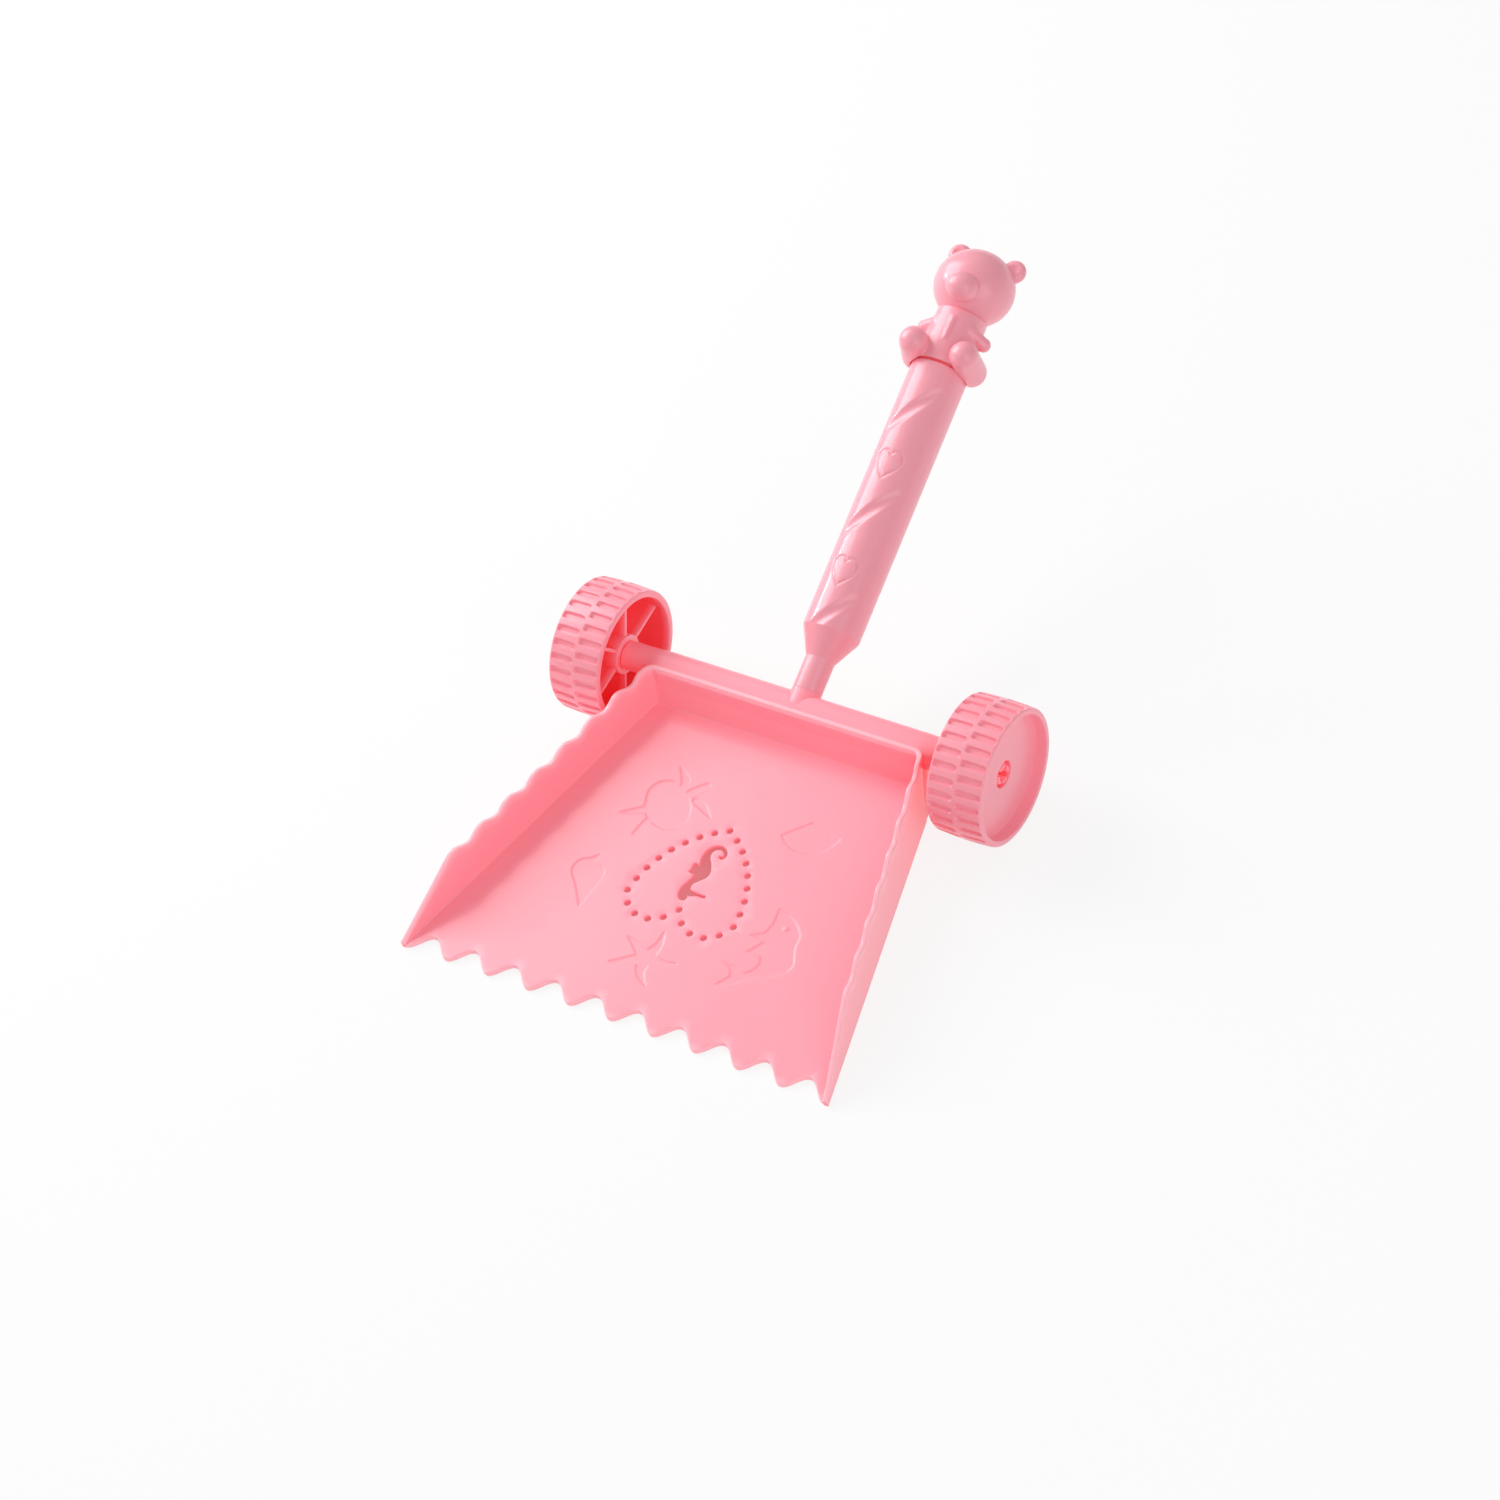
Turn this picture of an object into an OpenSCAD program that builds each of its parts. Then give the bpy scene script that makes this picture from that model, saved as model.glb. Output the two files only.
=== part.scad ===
// Wheeled sand shovel: a ramped scoop pan on two free-turning wheels, a hollow grip and a seated bear topper.
// Millimetres. Z points up from the ground, X runs along the axle and the mouth of the pan faces -Y.
// The origin lies on the ground, midway between the wheels and straight below the axle.

/* [Pan] */
// Length of the floor from its back crease to the lip tips
pan_length = 147; // [138:1:156]
// Outer half width of the pan at the lip
lip_half_w = 103.5; // [98:0.5:108]
// Outer half width of the pan at the back crease
back_half_w = 64.8; // [62:0.2:66]
// Slope of the floor, rising from the lip to the back, in degrees
ramp_deg = 6.3; // [5.5:0.1:7]
// Thickness of the walls and of the floor
wall_t = 2.2; // [1.8:0.1:2.6]
// Height of the mean line of the side rims above the floor
wall_h = 18.8; // [17:0.2:20]
// Height of the back rim above the back crease
back_h = 19.5; // [18.5:0.1:20.5]
// Outward lean of the side walls, in degrees
side_lean = 2.5; // [1:0.1:3.5]
// Backward lean of the back wall, in degrees
back_lean = 8; // [6:0.5:10]
// Inner radius of the back corners
corner_r = 7; // [5:0.5:9]

/* [Wavy edges] */
// Number of rounded teeth along the lip, counted from tip to tip
lip_waves = 10; // [8:2:12]
// Depth of the lip teeth
lip_wave_h = 7.6; // [5:0.1:9]
// How far the middle of the lip is drawn back
lip_bow = 1.2; // [0:0.1:3]
// Number of wave crests along each side rim
rim_waves = 7; // [5:1:8]
// Height of the rim waves from valley to crest
rim_wave_h = 2.8; // [1.5:0.1:3.4]
// Distance from the back crease to the first rim crest
rim_start = 15.7; // [14:0.1:18]
// Distance from the lip tips to the last rim crest
rim_stop = 36; // [32:0.5:40]
// Height of the side walls at the lip tips
tip_h = 3; // [2.8:0.1:4]
// Length of the straight taper's run past the last crest
taper_lead = 3; // [2:0.1:4]
// Length of the rise from the last valley to the back rim
rim_rise = 6; // [4:0.1:7]

/* [Floor cut-outs] */
// Diameter of the drain holes in the heart ring
drain_d = 2.8; // [2:0.1:3.2]
// Height of the heart ring from its tip to the tops of its lobes
heart_h = 51; // [44:0.5:53]
// Distance from the back crease to the tip of the heart
heart_gap = 47.2; // [44:0.1:50]
// Height of the sea horse cut-out
sea_horse_h = 28; // [23:0.5:29]
// Distance from the back crease to the middle of the sea horse
sea_horse_gap = 69.7; // [68:0.1:72]

/* [Axle beam] */
// Diameter of the round beam behind the pan
beam_d = 13; // [12.4:0.2:14]
// Distance from the beam to the back crease
beam_gap = 4.8; // [4.4:0.1:5.4]
// Height of the web between the beam and the back wall
web_h = 10; // [8:0.5:11]
// How far the top of the web lies below the back rim
web_drop = 1.1; // [0.7:0.1:1.3]
// Diameter of the journals that carry the wheels
journal_d = 9.6; // [9:0.1:10]
// Bore in each journal end
journal_bore_d = 5.6; // [4.8:0.1:6]
// Depth of the bore in each journal end
journal_bore_depth = 23; // [20:0.5:25]
// Width of the crossed slots that let the journal end snap through the wheel
snap_slot_w = 1.8; // [1.2:0.1:2.2]
// Length of the crossed slots behind the snap lip
snap_slot_length = 9; // [7:0.5:12]
// How far the snap lip stands out over the journal
snap_lip = 0.8; // [0.5:0.1:1]
// Length of the tapered snap nose
snap_nose = 2.6; // [2:0.1:2.8]
// Radial room around the snap lip in its seat in the wheel
nose_clearance = 0.3; // [0.2:0.05:0.5]
// Radial clearance of the wheels on their journals
run_clearance = 0.08; // [0.05:0.01:0.1]
// End play of each wheel at either side
end_play = 0.35; // [0.25:0.05:0.5]

/* [Wheels] */
// Outer diameter of the wheels
wheel_d = 60; // [57:0.5:63]
// Width of the wheels
wheel_w = 25; // [23:0.5:27]
// Clear gap between the side of the pan and a wheel, at the wheel's front edge
wheel_gap = 9.3; // [8:0.1:13]
// Thickness of the rim
rim_t = 3.6; // [3:0.1:4.2]
// Crown of the tread
crown = 0.5; // [0.2:0.1:0.8]
// Radius of the tread's shoulders
shoulder_r = 3; // [2.2:0.1:3.4]
// Depth of the dish in the outer face
dish_depth = 3.2; // [2.4:0.1:3.6]
// Width of the raised border around the dish
dish_border = 5.5; // [4.8:0.1:7]
// Thickness of the disc
disc_t = 2.6; // [2:0.1:3]
// Wall thickness of the hub sleeve
hub_wall = 4; // [3:0.1:4.4]
// Number of ribs behind the disc
wheel_ribs = 6; // [4:1:8]
// Thickness of the ribs
rib_t = 1.8; // [1.4:0.1:2.4]
// How far the ribs stay behind the inner face
rib_recess = 5; // [3:0.5:9]
// Tread slots in each of the two staggered rows
tread_slots = 30; // [24:1:32]
// Width of the tread slots
slot_w = 3; // [2.2:0.1:3.4]
// Depth of the tread slots
slot_depth = 0.9; // [0.5:0.1:1.2]
// Width of the land between the two rows
slot_land = 2.2; // [1.6:0.1:3]
// Distance from the end of a slot to the wheel's face
slot_edge = 2.2; // [1.8:0.1:2.6]

/* [Grip] */
// Angle of the grip above the ground, in degrees
grip_deg = 26.8; // [24:0.2:30]
// Offset of the grip from the middle of the beam
grip_shift = 2.5; // [-4:0.1:4]
// Outer diameter of the grip tube
grip_d = 25.4; // [24:0.2:27]
// Length of the grip tube above its cone
grip_length = 123.3; // [116:0.1:132]
// Wall thickness of the grip tube
grip_wall = 2; // [1.6:0.1:2.4]
// Length of the cone below the tube
cone_length = 12.2; // [10:0.1:14]
// Diameter of the neck between the beam and the cone
neck_d = 13; // [12:0.1:13.4]
// Length of the neck
neck_length = 14.7; // [12:0.1:18]
// Width of the collar around the neck
collar_w = 0.7; // [0.4:0.1:1]
// Height of the collar over the beam
collar_h = 1.5; // [1:0.1:2]
// Diameter of the spigot that holds the grip in the beam
spigot_d = 8; // [7:0.1:8.4]
// Length of the spigot
spigot_length = 10; // [8:0.5:11]
// Room left below the spigot in its socket
socket_room = 1; // [0.6:0.1:1.5]
// Radial clearance of the plugged fits
plug_clearance = 0.05; // [0.03:0.01:0.1]
// Depth of the slanted leaf-shaped grooves
groove_depth = 1.1; // [0.7:0.1:1.2]
// Rounding radius across a groove
groove_r = 5; // [4:0.1:6]
// Bend radius along a groove
groove_bend = 35; // [30:1:45]
// Distance from one groove to the next along the grip
groove_pitch = 48; // [44:0.5:50]
// Distance from the cone to the middle of the first groove
groove_start = 3.5; // [2:0.1:6]

/* [Bear] */
// Turn of the bear about the grip, in degrees
bear_turn = 12; // [0:1:30]
// Length of the plug that holds the bear in the grip
plug_length = 12; // [9:0.5:15]
// Height of the shadow gap between the grip and the bear
seam_gap = 1; // [0.6:0.1:1.4]
// Height of the body from the grip to the chin
body_h = 25; // [23:0.5:27]
// Radius of the belly
belly_r = 13.4; // [12.8:0.1:14]
// Radius of the neck under the chin
throat_r = 9.4; // [8.8:0.1:10]
// Half width of the head
head_r = 17.8; // [17:0.2:18.6]
// Half height of the head
head_half_h = 16.4; // [15.6:0.2:17.2]
// Radius of the muzzle
muzzle_r = 8.2; // [7.4:0.1:9]
// How far the muzzle stands out of the head
muzzle_out = 3; // [2:0.1:4]
// Radius of the ears
ear_r = 5.4; // [4.8:0.1:6]
// Half thickness of the ears
ear_t = 3.2; // [2.6:0.1:3.8]
// Radius of the thighs
thigh_r = 7.3; // [6.8:0.1:7.8]
// Radius of the feet
foot_r = 6.2; // [5.8:0.1:6.6]
// How far the feet reach to the front
foot_reach = 14; // [12.5:0.1:15]
// Radius of the shoulders
arm_r = 4.3; // [3.9:0.1:4.8]
// Radius of the hands
hand_r = 3.9; // [3.4:0.1:4.2]
// Wall thickness of the hollow figure
bear_wall = 3; // [2.4:0.1:3.4]

/* [Hidden] */
$fn = 64;
PINK = [1, 0.68, 0.75];
OVER = 1;
axle_z = wheel_d / 2;
beam_r = beam_d / 2;
journal_r = journal_d / 2;
bore_r = journal_r + run_clearance;
crease_y = -beam_r - beam_gap;
lip_y = crease_y - pan_length;
side_slope = (lip_half_w - back_half_w) / pan_length;
side_stretch = sqrt(1 + side_slope * side_slope);
wheel_start = back_half_w + side_slope * (crease_y + axle_z) + tan(side_lean) * axle_z + wheel_gap;
wheel_end = wheel_start + wheel_w;
disc_end = wheel_end - dish_depth;
beam_end = wheel_start - end_play;
snap_seat = disc_end - snap_nose - end_play;
snap_start = snap_seat + end_play;
ramp = tan(ramp_deg);
back_rim_z = floor_z(crease_y) + back_h;
first_crest_y = crease_y - rim_start;
last_crest_y = lip_y + rim_stop;
crest_pitch = (first_crest_y - last_crest_y) / (rim_waves - 1);
tooth_pitch = 2 * (lip_half_w - wall_t) / lip_waves;
neck_start = beam_r + collar_h;
cone_start = neck_start + neck_length;
tube_start = cone_start + cone_length;
seam = tube_start + grip_length;
grip_r = grip_d / 2;
tube_bore_r = grip_r - grip_wall;
head_z = body_h + head_half_h;

// Height of the top of the floor at a place y along the pan.
function floor_z(y) = wall_t + ramp * (y - lip_y);

// Height of the wavy side rim.
function wave_z(y) = floor_z(y) + wall_h + rim_wave_h / 2 * cos(360 * (y - first_crest_y) / crest_pitch);

// Smooth step from one value to another.
function blend(from, to, t) = from + (to - from) * (1 - cos(180 * t)) / 2;

// Front edge of the floor: cosine teeth on a shallow bow, straight across the wall ends.
function lip_edge(x) = abs(x) > lip_half_w - wall_t ? lip_y :
    lip_y + lip_bow * (1 - pow(x / lip_half_w, 2)) + blend(0, lip_wave_h, 2 * x / tooth_pitch);

// Place t of the way from b to c on a smooth curve through a, b, c and d.
function curve(a, b, c, d, t) =
    b + t / 2 * (c - a) + t * t / 2 * (2 * a - 5 * b + 4 * c - d) + t * t * t / 2 * (3 * b - a - 3 * c + d);

// Smooth path through all points, each written as [x, y, half width].
function path(p, n) = [
    for (i = [0 : len(p) - 2], j = [0 : n - 1])
        curve(p[max(i - 1, 0)], p[i], p[i + 1], p[min(i + 2, len(p) - 1)], j / n),
    p[len(p) - 1]
];

// Outline of a tapering stroke: the path moved to both sides by its half width.
function heading(p, i) = let (d = p[min(i + 1, len(p) - 1)] - p[max(i - 1, 0)]) [d.x, d.y] / norm([d.x, d.y]);
function beside(p, i, side) = let (d = heading(p, i)) [p[i].x, p[i].y] + side * p[i].z * [-d.y, d.x];
function stroke(p) = concat(
    [for (i = [0 : len(p) - 1]) beside(p, i, 1)],
    [for (i = [len(p) - 1 : -1 : 0]) beside(p, i, -1)]
);

// Arc of a circle around a centre, in equal steps.
function arc(centre, r, from, to, steps) = [for (i = [0 : steps]) let (a = from + (to - from) * i / steps)
    centre + r * [cos(a), sin(a)]];

module along_x(x)
    translate([x, 0, axle_z])
        rotate([0, 90, 0])
            children();

module along_grip(distance)
    translate([grip_shift, 0, axle_z])
        rotate([grip_deg - 90, 0, 0])
            translate([0, 0, distance])
                children();

module both_ends() {
    children();
    rotate([0, 0, 180])
        children();
}

// Side view carried across the whole width of the pan.
module across(outline)
    rotate([90, 0, 90])
        translate([0, 0, -lip_half_w - OVER])
            linear_extrude(2 * (lip_half_w + OVER))
                polygon(outline);

// Convex block between the inner wall faces, moved out by grow; its back corners are round.
module pan_block(grow, front) {
    hull()
        for (side = [-1, 1], z = [-OVER, 2 * back_rim_z]) {
            face = back_half_w + side_slope * crease_y + tan(side_lean) * z - wall_t * side_stretch;
            centre_y = crease_y + tan(back_lean) * (z - floor_z(crease_y)) - corner_r;
            centre_x = face - side_slope * centre_y - corner_r * side_stretch;
            front_x = face - side_slope * front + grow * side_stretch;
            translate([side * centre_x, centre_y, z])
                cylinder(r = corner_r + grow, h = 0.01, $fn = 32);
            translate([side * (front_x - OVER / 2) - OVER / 2, front, z])
                cube([OVER, 0.01, 0.01]);
        }
}

// Side view of the walls: flat base, straight taper behind the lip, wavy rim and level back rim.
module rim_profile() {
    taper_y = last_crest_y - taper_lead;
    valley_y = first_crest_y + crest_pitch / 2;
    steps = 10 * rim_waves;
    waves = [for (i = [0 : steps]) let (y = taper_y + (valley_y - taper_y) * i / steps) [y, wave_z(y)]];
    rise = [for (t = [0.2 : 0.2 : 1]) [valley_y + t * rim_rise, blend(wave_z(valley_y), back_rim_z, t)]];
    across(concat([[lip_y, 0], [lip_y, tip_h]], waves, rise, [[beam_r, back_rim_z], [beam_r, 0]]));
}

// Plan of the pan with its toothed lip, carried up over the whole height.
module lip_prism() {
    steps = 14 * lip_waves;
    lip = [for (i = [0 : steps]) let (x = lip_half_w * (2 * i / steps - 1)) [x, lip_edge(x)]];
    edge = lip_half_w + wall_t;
    translate([0, 0, -OVER])
        linear_extrude(2 * back_rim_z)
            polygon(concat([[-edge, lip_y]], lip, [[edge, lip_y], [edge, beam_r], [-edge, beam_r]]));
}

module pan_floor() {
    front = lip_y - OVER;
    back = crease_y + wall_t / 2;
    intersection() {
        across([[front, floor_z(front) - wall_t], [back, floor_z(back) - wall_t],
            [back, floor_z(back)], [front, floor_z(front)]]);
        pan_block(wall_t / 2, lip_y - 2 * OVER);
        lip_prism();
    }
}

// Round beam behind the back wall, its flat web to the rim and the collar for the grip.
module beam() {
    along_x(-beam_end)
        cylinder(r = beam_r, h = 2 * beam_end);
    web_y = crease_y + wall_t - OVER / 5;
    translate([-back_half_w, web_y, back_rim_z - web_drop - web_h])
        cube([2 * back_half_w, -web_y, web_h]);
    along_grip(0)
        cylinder(d = neck_d + 2 * collar_w, h = neck_start);
}

// Journal with its tapered snap nose.
module journal() {
    along_x(beam_end - OVER)
        cylinder(r = journal_r, h = snap_start - beam_end + OVER + snap_nose / 4);
    along_x(snap_start)
        cylinder(r1 = journal_r + snap_lip, r2 = journal_r - snap_lip, h = snap_nose);
}

// Bore and crossed slots that make a journal end springy.
module snap_cuts() {
    nose_end = snap_start + snap_nose;
    along_x(nose_end - journal_bore_depth)
        cylinder(d = journal_bore_d, h = journal_bore_depth + OVER);
    for (turn = [45, 135])
        along_x(snap_start - snap_slot_length)
            rotate([0, 0, turn])
                translate([-journal_d, -snap_slot_w / 2, 0])
                    cube([2 * journal_d, snap_slot_w, snap_slot_length + snap_nose + OVER]);
}

// Heart ring of drain holes: a long arc from the tip to the shoulder, then a round lobe to the cleft.
// It is drawn 51 high, from the tip at [0, 0].
module heart_holes() {
    drawn_h = 51;
    size = heart_h / drawn_h;
    side = arc([-21.9, 42.5], 47.8, -62.7, -1.3, 8);
    lobe = arc([13.1, 38.2], 12.9, 14, 162, 5);
    half = concat([for (i = [1 : 8]) side[i]], [for (i = [1 : 4]) lobe[i]]);
    places = concat([[0, 0], [0, lobe[5].y]], half, [for (p = half) [-p.x, p.y]]);
    for (p = places)
        translate([size * p.x, crease_y - heart_gap - size * p.y, 0])
            cylinder(d = drain_d, h = back_rim_z, $fn = 24);
}

// Sea horse cut-out: tapering strokes for the body with its curled tail and for the snout, and a fin.
// It is drawn 28 high, from its middle.
module sea_horse() {
    drawn_h = 28;
    body = [[-0.2, -14, 0.9], [-2.2, -13, 2.1], [-3, -9.6, 2.1], [-2.6, -6.2, 1.5], [-1.2, -3, 2.2],
        [-0.2, 0, 3.2], [-1, 3.4, 2.6], [-2.7, 6.8, 1.9], [-3, 9.8, 1.5], [-1.8, 12.3, 1.2],
        [0.6, 13.5, 1], [3.1, 12.9, 0.8], [4.5, 10.9, 0.7], [3.7, 9.2, 0.6], [2.2, 9.5, 0.4]];
    snout = [[-2.4, -10.9, 1.7], [0.8, -10.9, 1.3], [3, -10.5, 0.7], [7.2, -10.4, 0.6]];
    fin = [[-2, -1.8], [-4.2, -2.2], [-6.2, -1.6], [-5.7, 0.4], [-6.2, 2.6], [-5.4, 3.3], [-2.4, 2]];
    translate([0, crease_y - sea_horse_gap, 0])
        scale(sea_horse_h / drawn_h)
            for (shape = [stroke(path(body, 4)), stroke(path(snout, 3)), fin])
                linear_extrude(back_rim_z)
                    polygon(shape);
}

module scoop_pan()
    color(PINK)
        difference() {
            union() {
                difference() {
                    union() {
                        intersection() {
                            pan_block(wall_t, lip_y - 2 * OVER);
                            rim_profile();
                            lip_prism();
                        }
                        beam();
                        both_ends()
                            journal();
                    }
                    pan_block(0, lip_y - 4 * OVER);
                }
                pan_floor();
            }
            heart_holes();
            sea_horse();
            along_grip(neck_start - spigot_length - socket_room)
                cylinder(r = spigot_d / 2 + plug_clearance, h = spigot_length + socket_room + OVER);
            both_ends()
                snap_cuts();
        }

// Half section of the wheel as [radius, place along the axle]: crowned rim with round shoulders,
// dished disc and hub sleeve with a seat for the snap nose.
module wheel_body() {
    hub_r = bore_r + hub_wall;
    seat_r = journal_r + snap_lip + nose_clearance;
    rim_r = axle_z - rim_t;
    web_x = disc_end - disc_t;
    dish_r = axle_z - dish_border;
    corner = axle_z - crown - shoulder_r;
    middle = wheel_start + wheel_w / 2;
    half = wheel_w / 2 - shoulder_r;
    tread = [for (u = [-0.75 : 0.25 : 0.75]) [axle_z - crown * u * u, middle + u * half]];
    section = concat(
        [[rim_r - disc_t / 4, web_x], [rim_r, wheel_start]],
        arc([corner, middle - half], shoulder_r, -75, 0, 5),
        tread,
        arc([corner, middle + half], shoulder_r, 0, 75, 5),
        [[dish_r, wheel_end], [dish_r - dish_depth / 16, disc_end], [seat_r, disc_end],
            [seat_r, snap_seat], [bore_r, snap_seat], [bore_r, wheel_start], [hub_r, wheel_start],
            [hub_r, web_x]]
    );
    along_x(0)
        rotate_extrude($fn = 96)
            polygon(section);
}

module wheel_rib() {
    from_x = wheel_start + rib_recess;
    from_r = bore_r + hub_wall / 2;
    translate([from_x, -rib_t / 2, from_r])
        cube([disc_end - disc_t / 2 - from_x, rib_t, axle_z - rim_t / 2 - from_r]);
}

// Tread slot with round ends, on one side of the land.
module tread_slot(side) {
    slot_r = slot_w / 2;
    inner_x = slot_land / 2 + slot_r;
    outer_x = wheel_w / 2 - slot_edge - slot_r;
    translate([wheel_start + wheel_w / 2, 0, axle_z - slot_depth])
        linear_extrude(slot_depth + OVER) {
            for (x = [inner_x, outer_x])
                translate([side * x, 0])
                    circle(slot_r, $fn = 24);
            translate([side * (inner_x + outer_x) / 2, 0])
                square([outer_x - inner_x, slot_w], center = true);
        }
}

module around_axle(angle)
    translate([0, 0, axle_z])
        rotate([angle, 0, 0])
            children();

module wheel()
    difference() {
        union() {
            wheel_body();
            for (i = [0 : wheel_ribs - 1])
                around_axle(360 * i / wheel_ribs + 20)
                    wheel_rib();
        }
        for (i = [0 : tread_slots - 1], side = [-1, 1])
            around_axle((i + side / 4) * 360 / tread_slots)
                tread_slot(side);
    }

module right_wheel()
    color(PINK)
        wheel();

module left_wheel()
    color(PINK)
        rotate([0, 0, 180])
            wheel();

// Slanted groove: a ring laid across the tube at 45 degrees that only grazes its surface.
module leaf_groove()
    rotate([0, -45, 0])
        translate([0, groove_bend - grip_r + groove_depth, 0])
            rotate_extrude($fn = 192)
                translate([groove_bend + groove_r, 0])
                    circle(groove_r, $fn = 32);

module grip_handle() {
    edge = 0.6;
    spigot_r = spigot_d / 2;
    neck_r = neck_d / 2;
    color(PINK)
        along_grip(0)
            difference() {
                rotate_extrude($fn = 144)
                    polygon([[0, neck_start - spigot_length], [spigot_r, neck_start - spigot_length],
                        [spigot_r, neck_start], [neck_r, neck_start], [neck_r, cone_start],
                        [grip_r - edge, tube_start - edge], [grip_r, tube_start + edge],
                        [grip_r, seam - edge], [grip_r - edge, seam], [tube_bore_r, seam],
                        [tube_bore_r, tube_start + grip_wall], [neck_r - grip_wall, cone_start + grip_wall],
                        [0, cone_start + grip_wall]]);
                for (i = [0 : 2], turn = [0, 180])
                    translate([0, 0, tube_start + groove_start + i * groove_pitch])
                        rotate([0, 0, turn])
                            leaf_groove();
            }
}

// One limb: a round end at each joint and a slimmer shank between them.
module limb(from, to, r_from, r_to) {
    d = to - from;
    translate(from)
        sphere(r_from, $fn = 40);
    translate(to)
        sphere(r_to, $fn = 40);
    translate(from)
        rotate([0, acos(d.z / norm(d)), atan2(d.y, d.x)])
            cylinder(r = 0.85 * r_to, h = norm(d), $fn = 40);
}

// Rounded body about the Z axis with an elliptic section.
module egg(r, half_h)
    rotate_extrude($fn = 64)
        polygon([for (a = [-90 : 9 : 90]) [r * cos(a), half_h * sin(a)]]);

// Waisted outline of the bear's body, drawn in by the wall for the hollow inside.
function body_outline(inset) = [for (t = [0.15 : 0.17 : 1])
    [blend(belly_r, throat_r, t) - inset, body_h * t]];

// Seated bear with its front towards local -Y.
module bear_figure() {
    plug_r = tube_bore_r - plug_clearance;
    foot_r_in = grip_r - seam_gap;
    rotate_extrude($fn = 72)
        polygon(concat([[0, -plug_length], [plug_r - seam_gap / 2, -plug_length], [plug_r, seam_gap - plug_length],
            [plug_r, 0], [foot_r_in, 0], [foot_r_in, seam_gap], [belly_r - seam_gap, seam_gap]],
            body_outline(0), [[throat_r, body_h + bear_wall], [0, body_h + bear_wall]]));
    translate([0, 0, head_z])
        egg(head_r, head_half_h);
    translate([0, muzzle_r - head_r - muzzle_out, head_z - head_half_h / 3])
        rotate([90, 0, 0])
            egg(muzzle_r, muzzle_r);
    for (side = [-1, 1]) {
        translate([side * (head_r - ear_r * 0.6), ear_t / 3, head_z + 0.7 * head_half_h])
            rotate([90, 0, side * bear_turn])
                egg(ear_r, ear_t);
        limb([side * throat_r, -arm_r / 2, body_h - 1.5 * arm_r],
            [side * (throat_r + 1.3 * arm_r), -1.5 * arm_r, body_h - 2.8 * arm_r], arm_r, hand_r);
    }
    difference() {
        for (side = [-1, 1])
            limb([side * grip_r, seam_gap, 0.6 * thigh_r],
                [side * (grip_r - foot_r / 6), -foot_reach, 0.85 * foot_r], thigh_r, foot_r);
        translate([0, 0, -plug_length])
            cylinder(r = grip_r + seam_gap / 2, h = plug_length + seam_gap);
    }
}

// Hollow inside the bear, open at the plug.
module bear_hollow() {
    core_r = tube_bore_r - bear_wall;
    rotate_extrude($fn = 48)
        polygon(concat([[0, -plug_length - OVER], [core_r, -plug_length - OVER], [core_r, 0]],
            body_outline(2 * bear_wall), [[throat_r - bear_wall, head_z], [0, head_z]]));
    translate([0, 0, head_z])
        egg(head_r - bear_wall, head_half_h - bear_wall);
}

module bear_topper()
    color(PINK)
        along_grip(seam)
            rotate([0, 0, bear_turn])
                difference() {
                    bear_figure();
                    bear_hollow();
                }

scoop_pan();
left_wheel();
right_wheel();
grip_handle();
bear_topper();
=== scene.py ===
import math
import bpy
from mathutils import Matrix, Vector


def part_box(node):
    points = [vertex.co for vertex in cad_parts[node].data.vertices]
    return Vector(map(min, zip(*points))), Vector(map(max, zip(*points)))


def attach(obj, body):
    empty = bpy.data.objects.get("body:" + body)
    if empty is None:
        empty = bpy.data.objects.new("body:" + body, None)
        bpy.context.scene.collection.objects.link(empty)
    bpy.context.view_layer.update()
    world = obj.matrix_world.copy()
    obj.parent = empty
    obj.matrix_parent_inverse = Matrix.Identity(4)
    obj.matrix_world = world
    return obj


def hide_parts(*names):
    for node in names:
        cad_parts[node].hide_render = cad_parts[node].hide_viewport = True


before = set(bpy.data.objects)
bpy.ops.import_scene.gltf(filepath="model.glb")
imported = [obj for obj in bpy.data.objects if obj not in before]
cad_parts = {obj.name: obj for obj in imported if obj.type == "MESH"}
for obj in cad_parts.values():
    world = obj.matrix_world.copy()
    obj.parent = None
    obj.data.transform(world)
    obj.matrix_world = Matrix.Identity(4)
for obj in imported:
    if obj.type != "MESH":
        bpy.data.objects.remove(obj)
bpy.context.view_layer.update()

from types import SimpleNamespace

import bmesh
import bpy
import numpy as np
from bpy.props import FloatProperty, FloatVectorProperty, IntProperty, PointerProperty
from mathutils import Matrix, Vector
from mathutils.geometry import delaunay_2d_cdt

bl_info = {
    "name": "Wheeled sand shovel",
    "version": (1, 0, 0),
    "blender": (4, 5, 0),
    "location": "3D View > Sidebar > Shovel",
    "description": "Builds the pan, beam, wheels, grip and bear of a toy sand shovel in its packed frame",
    "category": "Object",
}

# Shapes are worked out in millimetres and written to the meshes in metres.
MM = 0.001
WHEEL_LOW, WHEEL_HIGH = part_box("right_wheel")


def size(name, description, mm):
    """Length property with its default in millimetres."""
    return FloatProperty(name=name, description=description, default=mm * MM, unit="LENGTH", precision=5)


def angle(name, description, degrees):
    """Angle property with its default in degrees."""
    return FloatProperty(name=name, description=description, default=math.radians(degrees), subtype="ANGLE")


def colour(name, description, value):
    """Linear colour property."""
    return FloatVectorProperty(name=name, description=description, default=value, subtype="COLOR",
                               size=3, min=0.0, max=1.0)


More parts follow.
